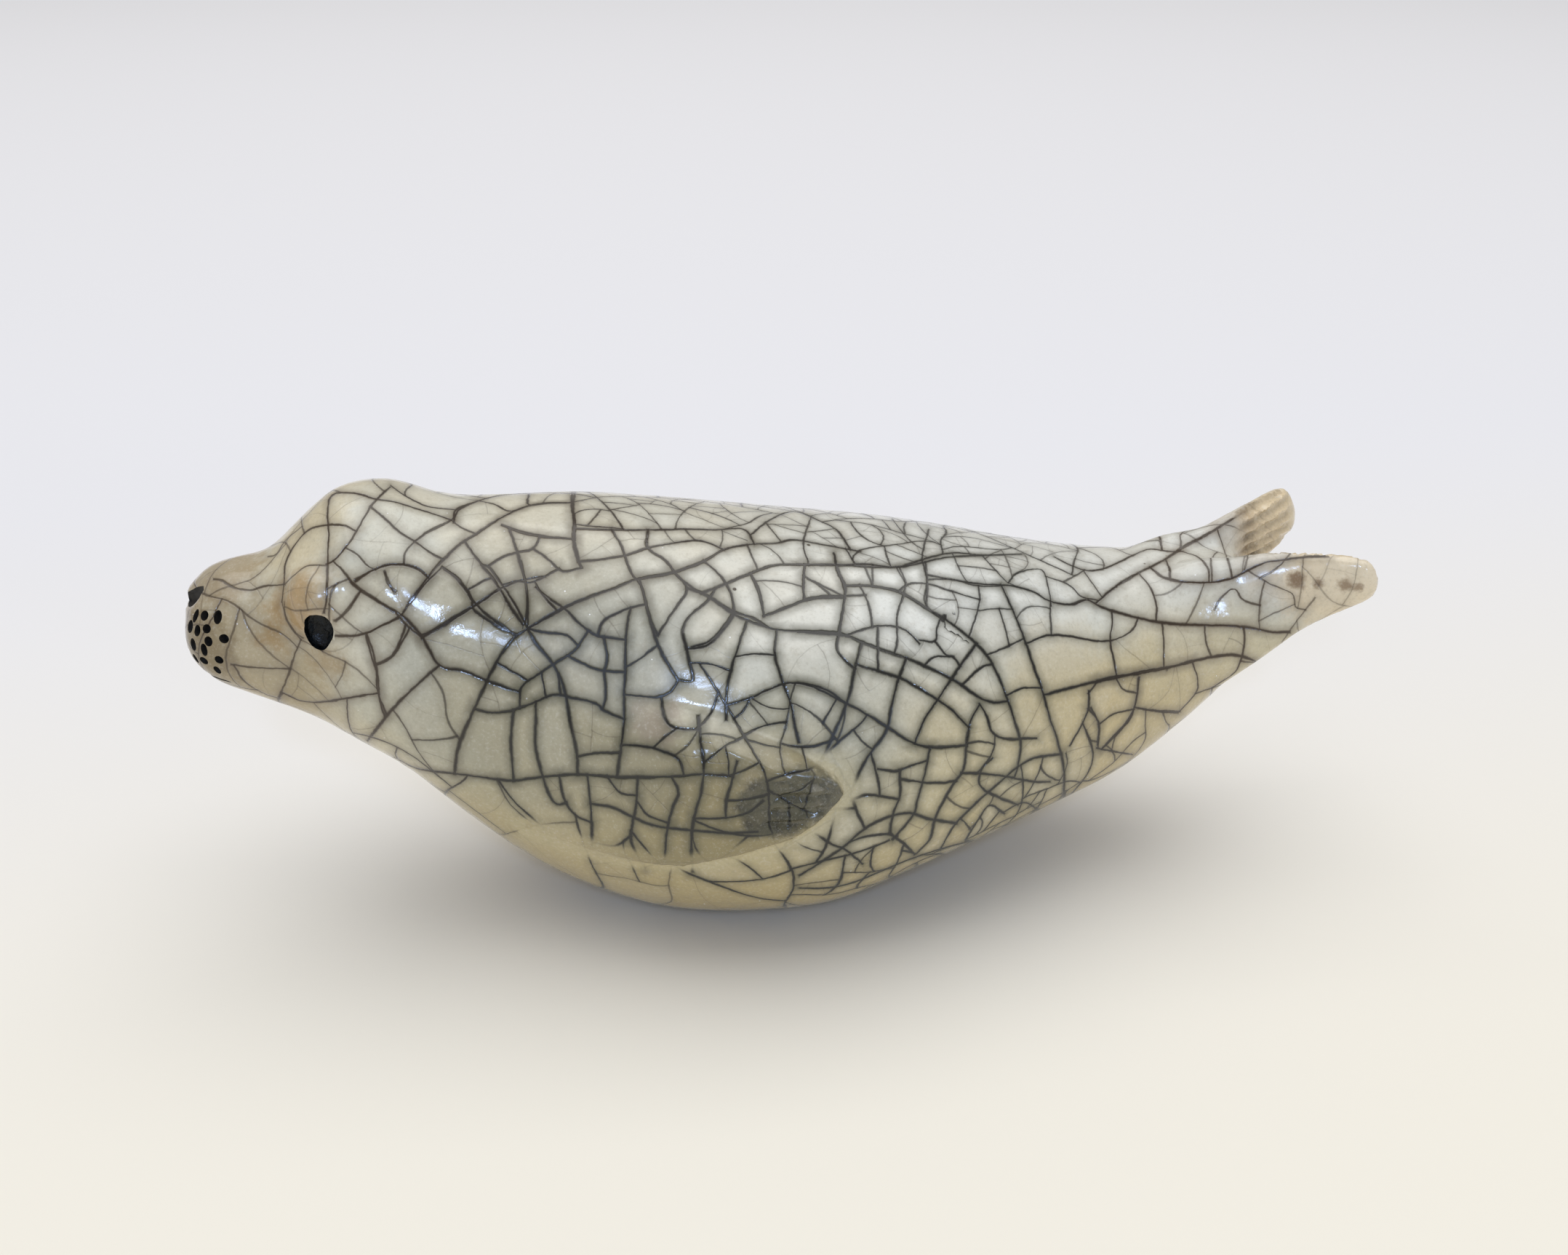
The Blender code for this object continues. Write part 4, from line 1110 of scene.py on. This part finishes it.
@dataclass(frozen=True)
class ForeFlipper:
    """The fore flipper as each flank shows it, marked on the skin for the glaze.

    Outlines are shares of the length and of the height, as in the solid: the upper and the lower
    edge from the shoulder to the tip, and the toes.
    """

    top: tuple[tuple[float, float], ...] = (
        (0.262, 0.660), (0.330, 0.672), (0.385, 0.645), (0.440, 0.604), (0.478, 0.560), (0.506, 0.510),
    )
    bottom: tuple[tuple[float, float], ...] = (
        (0.262, 0.330), (0.320, 0.300), (0.375, 0.300), (0.425, 0.338), (0.480, 0.392), (0.512, 0.470),
    )
    toes: tuple[tuple[float, float], ...] = (
        (0.436, 0.530), (0.470, 0.540), (0.500, 0.530), (0.516, 0.500), (0.516, 0.450), (0.495, 0.420),
        (0.460, 0.392), (0.436, 0.400), (0.424, 0.465),
    )
    steps: int = 6

    def mark(self, skin: bpy.types.Object) -> None:
        """Store on each vertex how far inside the flipper and the toes it lies, in millimetres.

        Args:
            skin: the finished skin.
        """
        mesh = skin.data
        low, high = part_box(NODE)
        size = np.array((high.x - low.x, high.z)) / MM
        flat = read_points(mesh, "co")[:, [0, 2]] / MM - (low.x / MM, 0)
        top, bottom = (smooth_row(np.array(row) * size, self.steps) for row in (self.top, self.bottom))
        toes = np.array(self.toes) * size
        for name, outline in (("flipper", np.vstack((top, bottom[::-1]))), ("toes", toes)):
            self.store(mesh, name, within(flat, outline))
        lip = np.vstack((bottom, top[-2:-4:-1]))
        self.store(mesh, "lip_band", np.abs(beside(flat, lip)[0]) + np.maximum(-beside(flat, lip)[1], 0))

    @staticmethod
    def store(mesh: bpy.types.Mesh, name: str, values: np.ndarray) -> None:
        """Keep one value a vertex as an attribute."""
        mesh.attributes.new(name, "FLOAT", "POINT").data.foreach_set("value", values.astype(np.float32))


@dataclass(frozen=True)
class HindToes:
    """Grooves between the toes on the hind flippers' inner faces, marked for the glaze.

    Heights are shares of the whole height and the span is in shares of the length, as in the
    solid. The radii are in millimetres.
    """

    heights: tuple[float, ...] = (0.655, 0.685, 0.715, 0.745, 0.772)
    span: tuple[float, float] = (0.925, 0.987)
    fall: float = 0.024
    groove: float = 0.65
    ridge: float = 1.6

    def mark(self, skin: bpy.types.Object) -> None:
        """Store how much each vertex belongs to a groove and to the ridges beside it.

        Args:
            skin: the finished skin.
        """
        for name, radius in (("toe_groove", self.groove), ("toe_ridge", self.ridge)):
            ForeFlipper.store(skin.data, name, self.closeness(skin, radius))

    def closeness(self, skin: bpy.types.Object, radius: float) -> np.ndarray:
        """How near each vertex is to a groove.

        Args:
            skin: the body's skin.
            radius: how far a groove reaches, in millimetres.

        Returns:
            Values from 1 in a groove to 0 away from it.
        """
        low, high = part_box(NODE)
        points = read_points(skin.data, "co")
        share_x = (points[:, 0] - low.x) / (high.x - low.x)
        along = (share_x - self.span[0]) / (self.span[1] - self.span[0])
        off = points[:, 2:] / high.z - (np.array(self.heights) + self.fall * (along[:, None] - 0.5))
        away = np.abs(off).min(1) * high.z / MM
        sideways = read_points(skin.data, "normal")[:, 1] * np.sign(points[:, 1])
        inner = (sideways < -0.25) & (share_x > self.span[0] - 0.02)
        edge = np.clip((along + 0.15) / 0.3, 0, 1) * np.clip((1.12 - along) / 0.15, 0, 1)
        return np.clip(1.6 - away / radius * 1.2, 0, 1) * edge * inner


@dataclass(frozen=True)
class Zone:
    """A part of the body and the size of its crackle, in millimetres, alike on both sides."""

    centre: tuple[float, float, float]
    reach: float
    cell: float
    strength: float


@dataclass
class Crackle:
    """The network of cracks on the skin: the drawn ones, then the rest by splitting again and again.

    Lengths are in millimetres. Each split is a curved surface through a patch of skin, square to
    the patch's longest way, so a later crack ends where it meets an earlier one. Each triangle
    of the skin keeps the nearest few cracks in corner attributes: distance from the crack,
    distance inside the patch that it splits, and strength.
    """

    seed: int = 11
    slots: int = 4
    cell: float = 8.0
    force: float = 0.95
    reach: float = 2.6
    band: float = 34.0
    closing: float = 1.3
    spare: float = 2.2
    snap: float = 15.0
    facing: float = 0.04
    grazing: float = 1.5
    zones: tuple[Zone, ...] = (
        Zone((10.0, 0.0, 62.0), 28.0, 3.4, 0.62),
        Zone((42.0, 0.0, 56.0), 18.0, 3.8, 0.52),
        Zone((12.0, 34.0, 36.0), 18.0, 5.6, 0.95),
        Zone((38.0, 27.0, 18.0), 15.0, 3.4, 0.82),
        Zone((10.0, 36.0, 34.0), 7.0, 3.6, 0.85),
        Zone((-10.0, 32.0, 24.0), 13.0, 4.2, 0.90),
        Zone((-30.0, 24.0, 36.0), 18.0, 8.5, 1.00),
        Zone((-38.0, 20.0, 8.0), 18.0, 26.0, 0.30),
        Zone((-8.0, 26.0, 2.0), 14.0, 20.0, 0.25),
        Zone((-62.0, 8.0, 55.0), 18.0, 8.0, 0.48),
        Zone((72.0, 6.0, 35.0), 18.0, 9.0, 0.62),
        Zone((94.0, 12.0, 50.0), 12.0, 10.0, 0.20),
    )

    def dress(self, skin: bpy.types.Object) -> None:
        """Work out the network and store it on the skin's mesh.

        Args:
            skin: the finished skin, of triangles.
        """
        mesh = skin.data
        self.rng = np.random.default_rng(self.seed)
        self.read(mesh)
        pending = self.draw(View())
        while pending:
            pending.extend(self.split(*pending.pop()))
        for slot in range(self.slots):
            attribute = mesh.attributes.new(f"crack_{slot}", "FLOAT_VECTOR", "CORNER")
            attribute.data.foreach_set("vector", self.data[:, slot].reshape(-1))
        attribute = mesh.attributes.new("cell_tone", "FLOAT", "FACE")
        attribute.data.foreach_set("value", self.tone)
        log.info("crackle: %d cracks split", self.splits)

    def read(self, mesh: bpy.types.Mesh) -> None:
        """Read the mesh into arrays and clear the record of the cracks.

        Args:
            mesh: the skin's mesh.
        """
        self.points = read_points(mesh, "co") / MM
        self.normals = read_points(mesh, "normal")
        self.faces = np.empty(len(mesh.loops), np.int32)
        mesh.loops.foreach_get("vertex_index", self.faces)
        self.faces = self.faces.reshape(-1, 3)
        a, b, c = (self.points[self.faces[:, i]] for i in range(3))
        self.area = np.linalg.norm(np.cross(b - a, c - a), axis=1) / 2
        self.weight = np.zeros(len(self.points))
        for i in range(3):
            np.add.at(self.weight, self.faces[:, i], self.area / 3)
        self.near = np.full((len(self.faces), self.slots), 99.0)
        self.data = np.zeros((len(self.faces), self.slots, 3, 3), np.float32)
        self.data[..., 0] = 99.0
        self.tone = np.full(len(self.faces), 0.5, np.float32)
        self.lookup = np.empty(len(self.points))
        self.splits = 0

    def draw(self, view: View) -> list[tuple]:
        """Lay the drawn cracks on the side that the view shows and part the skin along them.

        Args:
            view: the viewpoint that they are drawn from.

        Returns:
            The patches between them, to be split further.
        """
        pixels, scale = view.project(self.points * MM)
        per_mm = scale * MM
        ahead = np.array(view.place) / MM - self.points
        ahead /= np.linalg.norm(ahead, axis=1)[:, None]
        seen = (ahead * self.normals).sum(1) > self.facing
        margin = np.full(len(self.points), 99.0)
        edges = np.unique(np.sort(np.vstack([self.faces[:, [i, i - 1]] for i in range(3)]), axis=1), axis=0)
        open_edges = np.ones(len(edges), bool)
        signed = np.empty(len(self.points))
        inside = np.empty(len(self.points))
        for curve in self.joined([line for drawing in DRAWINGS.values() for line in drawing.pixels()]):
            close = ((pixels > curve.min(0) - self.band) & (pixels < curve.max(0) + self.band)).all(1) & seen
            verts = np.flatnonzero(close)
            value, along = beside(pixels[verts], curve)
            faces = np.flatnonzero(close[self.faces].all(1))
            signed[:] = np.nan
            signed[verts] = value
            inside[verts] = along / per_mm[verts]
            signed[verts] /= np.maximum(self.steepness(signed, faces, verts), self.grazing)
            faces = faces[~np.isnan(signed[self.faces[faces]]).any(1)]
            length = np.linalg.norm(np.diff(curve, axis=0), axis=1).sum() / per_mm[verts].mean()
            middle = self.points[verts].mean(0)
            force = min(1.0, self.wanted(middle)[1] * (0.80 + 0.02 * length))
            self.store(faces, np.arange(len(self.points)), signed, inside, force)
            away = np.maximum(np.abs(signed[verts]), -inside[verts])
            margin[verts] = np.fmin(margin[verts], away)
            near = np.flatnonzero(close[edges].all(1))
            a, b = edges[near, 0], edges[near, 1]
            share = np.abs(signed[a]) / (np.abs(signed[a]) + np.abs(signed[b]) + 1e-9)
            within = inside[a] * (1 - share) + inside[b] * share > -self.closing
            open_edges[near[(signed[a] * signed[b] < 0) & within]] = False
        return self.patches(edges[open_edges], margin)

    def joined(self, lines: list[np.ndarray]) -> list[np.ndarray]:
        """Smooth the drawn lines and bring each end that nearly meets another line onto it.

        Args:
            lines: the points of each line, in pixels.

        Returns:
            Each line's curve.
        """
        drawn = [smooth_row(line, 4) for line in lines]
        curves = []
        for index, line in enumerate(lines):
            others = np.vstack([curve for i, curve in enumerate(drawn) if i != index])
            line = line.copy()
            for end in (0, -1):
                gap = np.linalg.norm(others - line[end], axis=1)
                if gap.min() < self.snap:
                    line[end] = others[gap.argmin()]
            curves.append(smooth_row(line, 5))
        return curves

    def steepness(self, value: np.ndarray, faces: np.ndarray, verts: np.ndarray) -> np.ndarray:
        """How fast a value changes over the skin at vertices, for each millimetre.

        Args:
            value: the value at every vertex.
            faces: indices of the triangles round the vertices.
            verts: indices of the vertices.

        Returns:
            The change at each of the vertices.
        """
        a, b, c = (self.faces[faces, i] for i in range(3))
        first, second = self.points[b] - self.points[a], self.points[c] - self.points[a]
        rise, other = value[b] - value[a], value[c] - value[a]
        square = (second ** 2).sum(1) * rise ** 2 - 2 * (first * second).sum(1) * rise * other
        square += (first ** 2).sum(1) * other ** 2
        slope = np.sqrt(np.maximum(square, 0)) / np.maximum(2 * self.area[faces], 1e-9)
        total = np.zeros(len(self.points))
        weight = np.zeros(len(self.points))
        for corner in (a, b, c):
            np.add.at(total, corner, slope * self.area[faces])
            np.add.at(weight, corner, self.area[faces])
        mean = total[verts] / np.maximum(weight[verts], 1e-9)
        return np.where(weight[verts] > 0, mean, np.nan)

    def patches(self, edges: np.ndarray, margin: np.ndarray) -> list[tuple]:
        """Part the skin where no open edge joins it.

        Args:
            edges: pairs of joined vertices that no drawn crack parts.
            margin: each vertex's distance from the nearest drawn crack.

        Returns:
            The patches to split.
        """
        label = np.arange(len(self.points))
        a, b = edges[:, 0], edges[:, 1]
        while (label[a] != label[b]).any():
            low = np.minimum(label[a], label[b])
            np.minimum.at(label, label[a], low)
            np.minimum.at(label, label[b], low)
            while (label[label] != label).any():
                label = label[label]
        made = []
        names, counts = np.unique(label, return_counts=True)
        for name in names[counts > 8]:
            faces = np.flatnonzero((label[self.faces] == name).any(1))
            verts = np.unique(self.faces[faces])
            inside = np.where(label[verts] == name, margin[verts], -margin[verts])
            made.append((faces, verts, inside, -1))
        log.info("crackle: %d drawn cells", len(made))
        return made

    def wanted(self, middle: np.ndarray) -> tuple[float, float]:
        """Cell size and crack strength at a place.

        Args:
            middle: the place, in millimetres.

        Returns:
            The size in millimetres, and the strength from 0 to 1.
        """
        folded = np.abs(middle * (0, 1, 0)) + middle * (1, 0, 1)
        shares = [math.exp(-(np.linalg.norm(folded - zone.centre) / zone.reach) ** 2) for zone in self.zones]
        rest = 0.25
        total = sum(shares) + rest
        size = (sum(s * zone.cell for s, zone in zip(shares, self.zones)) + rest * self.cell) / total
        strength = (sum(s * zone.strength for s, zone in zip(shares, self.zones)) + rest * self.force) / total
        return size, strength

    def split(self, faces: np.ndarray, verts: np.ndarray, inside: np.ndarray, hair: int) -> list[tuple]:
        """Split one patch of skin by a crack.

        Args:
            faces: indices of the patch's triangles.
            verts: indices of their vertices.
            inside: for each of those vertices, its distance inside the patch.
            hair: 0 for a main crack, more for each level of fine cracks, and -1 for a patch that
                drawn cracks close, which is split only where it is much too large.

        Returns:
            The new patches to split further.
        """
        body = inside > 0
        weight = self.weight[verts] * body
        area = weight.sum()
        if area < 0.6 or body.sum() < 6:
            return []
        points = self.points[verts]
        middle = (points * weight[:, None]).sum(0) / area
        size, strength = self.wanted(middle)
        size *= float(self.rng.uniform(0.72, 1.32))
        if hair <= 0 and area < size * size * (self.spare if hair < 0 else 1.0):
            self.tone[faces] = self.rng.uniform(0, 1)
            if self.rng.uniform() < 0.55 or area < 9:
                return []
            hair = 1
        hair = max(hair, 0)
        away = points - middle
        spread = (away * weight[:, None]).T @ away / area
        values, axes = np.linalg.eigh(spread)
        long_way, wide_way = axes[:, 2], axes[:, 1]
        slant = 0.9 if values[1] > 0.55 * values[2] else 0.45
        across = long_way + wide_way * self.rng.uniform(-slant, slant)
        across /= np.linalg.norm(across)
        facing = (self.normals[verts] * weight[:, None]).sum(0)
        facing /= max(np.linalg.norm(facing), 1e-6)
        along = np.cross(facing, across)
        along /= max(np.linalg.norm(along), 1e-6)
        extent = math.sqrt(area)
        shift = middle + across * math.sqrt(values[2]) * self.rng.uniform(-0.45, 0.45)
        bend = self.rng.uniform(-1.3, 1.3) / max(extent, 7.0)
        off = points - shift
        ahead = off @ along
        value = off @ across + bend / 2 * ahead ** 2
        for length, height in ((16.0, 0.60), (8.5, 0.32)):
            turn = self.rng.normal(size=3)
            turn *= 2 * math.pi / length / np.linalg.norm(turn)
            value += height * min(1.0, extent / 12) * np.sin(points @ turn + self.rng.uniform(0, 6.3))
        self.lookup[verts] = value
        distance = value / np.maximum(self.steepness(self.lookup, faces, verts), 0.4)
        if hair:
            force = self.rng.uniform(0.08, 0.26)
        else:
            force = strength * min(1.0, 0.72 + 0.16 * math.log2(max(extent / size, 1.0))) * self.rng.uniform(0.75, 1.1)
        self.store(faces, verts, distance, inside, min(force, 1.0))
        self.splits += 1
        made = []
        for sign in (-1.0, 1.0):
            self.lookup[verts] = np.minimum(inside, sign * distance)
            kept = faces[self.lookup[self.faces[faces]].max(1) > 0]
            if len(kept):
                left = np.unique(self.faces[kept])
                made.append((kept, left, self.lookup[left].copy(), hair and hair + 1))
        return [patch for patch in made if hair < 2 and (not hair or self.rng.uniform() < 0.4)]

    def store(self, faces, verts, distance, inside, force: float) -> None:
        """Keep a crack on the triangles near it, in place of each one's farthest crack.

        Args:
            faces: indices of the patch's triangles.
            verts: indices of their vertices.
            distance: signed distance from the crack at each vertex.
            inside: distance inside the patch at each vertex.
            force: the crack's strength.
        """
        self.lookup[verts] = distance
        corner_distance = self.lookup[self.faces[faces]]
        self.lookup[verts] = inside
        corner_inside = self.lookup[self.faces[faces]]
        away = np.maximum(np.abs(corner_distance).min(1), -corner_inside.max(1))
        away[(corner_distance.min(1) < 0) & (corner_distance.max(1) > 0) & (corner_inside.max(1) > 0)] = 0.0
        worst = self.near[faces].argmax(1)
        better = (away < self.reach) & (away < self.near[faces, worst])
        rows, places = faces[better], worst[better]
        self.near[rows, places] = away[better]
        self.data[rows, places, :, 0] = corner_distance[better]
        self.data[rows, places, :, 1] = corner_inside[better]
        self.data[rows, places, :, 2] = force


@dataclass
class Seal:
    """The whole figurine: one glazed piece."""

    crease: float = 38.0

    def build(self) -> bpy.types.Object:
        """Build and dress the figurine.

        Returns:
            The finished piece.
        """
        skin = Skin().build(CrackleGlaze().material())
        Relief().build(skin)
        Face().build(skin)
        self.finish(skin)
        ForeFlipper().mark(skin)
        HindToes().mark(skin)
        Crackle().dress(skin)
        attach(skin, "root")
        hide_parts(NODE)
        return skin

    def finish(self, skin: bpy.types.Object) -> None:
        """Give the foot its bare clay, split the skin into triangles and shade it smooth."""
        skin.data.materials.append(BARE_CLAY.material())
        bm = bmesh.new()
        bm.from_mesh(skin.data)
        for face in bm.faces:
            if all(v.co.z < 0.00006 for v in face.verts):
                face.material_index = len(skin.data.materials) - 1
        bmesh.ops.dissolve_degenerate(bm, edges=bm.edges, dist=0.000004)
        bmesh.ops.triangulate(bm, faces=bm.faces)
        bm.to_mesh(skin.data)
        bm.free()
        select_only(skin)
        bpy.ops.object.shade_smooth_by_angle(angle=math.radians(self.crease))


@dataclass
class Studio:
    """Pale floor, soft light and the camera."""

    view: View = View()
    # Near colour of the floor; behind, it turns cool blue-white as painted light
    floor: str = "f4efe2"
    pane_size: tuple[float, float] = (0.05, 0.065)
    pane_distance: float = 0.80
    panes: tuple[tuple[str, float, float, float], ...] = (
        ("window_left", -109.0, 30.0, 0.50),
        ("window_middle", -95.0, 36.0, 0.55),
        ("window_right", -67.0, 17.0, 0.40),
    )

    def build(self) -> None:
        """Add the floor, the lamps, the world and the camera."""
        self.add_floor()
        self.add_lamp("soft_ceiling", (0.0, 0.4, 2.4), (0.0, 0.4, 0.0), (3.0, 3.0), 49.0, "f8f7f5")
        for name, azimuth, elevation, power in self.panes:
            a, e = math.radians(azimuth), math.radians(elevation)
            aim = Vector((0, 0, 0.04))
            away = Vector((math.cos(a) * math.cos(e), math.sin(a) * math.cos(e), math.sin(e)))
            self.add_lamp(name, aim + away * self.pane_distance, aim, self.pane_size, power, "b4d0ff")
        world = bpy.data.worlds.new("soft_room")
        bpy.context.scene.world = world
        world.use_nodes = True
        tree = world.node_tree
        shader = tree.nodes["Background"]
        shader.inputs["Color"].default_value = linear("f6f3ec")
        shader.inputs["Strength"].default_value = 0.45
        self.add_camera()
        bpy.context.scene.view_settings.view_transform = "Standard"

    def add_floor(self) -> None:
        """Add a wide matt floor that shows about as pale as it is written, its tint shifting from front to back as
        painted light.
        """
        bpy.ops.mesh.primitive_plane_add(size=6.0)
        floor = bpy.context.object
        floor.name = "floor"
        made = bpy.data.materials.new("white_cotton_sheet_backdrop")
        made.use_nodes = True
        tree = made.node_tree
        shader = tree.nodes["Principled BSDF"]
        coords = add_node(tree, "ShaderNodeTexCoord").outputs["Object"]
        # Painted light: cream at the front to cool blue-white behind, as a warm light in front and a bluish one behind
        # would tint it
        away = ramp(tree, add_node(tree, "ShaderNodeSeparateXYZ", {0: coords}).outputs[1], -0.12, 0.20)
        tree.links.new(mix(tree, away, linear(self.floor), linear("ecedf4")), shader.inputs["Base Color"])
        shader.inputs["Roughness"].default_value = 0.9
        floor.data.materials.append(made)

    def add_lamp(self, name: str, place, aim, size: tuple[float, float], power: float, colour: str) -> None:
        """Add one rectangular lamp.

        Args:
            name: the lamp's name.
            place: where it hangs.
            aim: the point that it faces.
            size: its width and height.
            power: its power in watts.
            colour: its sRGB colour.
        """
        data = bpy.data.lights.new(name, "AREA")
        data.shape = "RECTANGLE"
        data.size, data.size_y = size
        data.energy = power
        data.color = linear(colour)[:3]
        lamp = bpy.data.objects.new(name, data)
        lamp.location = place
        lamp.rotation_euler = (Vector(aim) - Vector(place)).to_track_quat("-Z", "Y").to_euler()
        bpy.context.scene.collection.objects.link(lamp)

    def add_camera(self) -> None:
        """Add the camera at the photograph's viewpoint."""
        data = bpy.data.cameras.new("camera")
        data.lens = self.view.focal
        data.sensor_width = self.view.sensor
        data.clip_start, data.clip_end = 0.01, 20.0
        camera = bpy.data.objects.new("camera", data)
        camera.location = self.view.place
        camera.rotation_euler = self.view.turning()
        bpy.context.scene.collection.objects.link(camera)
        bpy.context.scene.camera = camera


def main() -> None:
    """Build the figurine and its studio."""
    logging.basicConfig(level=logging.INFO, format="%(name)s: %(message)s")
    bpy.ops.object.select_all(action="DESELECT")
    bpy.context.view_layer.update()
    Seal().build()
    Studio().build()


if __name__ == "__main__":
    main()
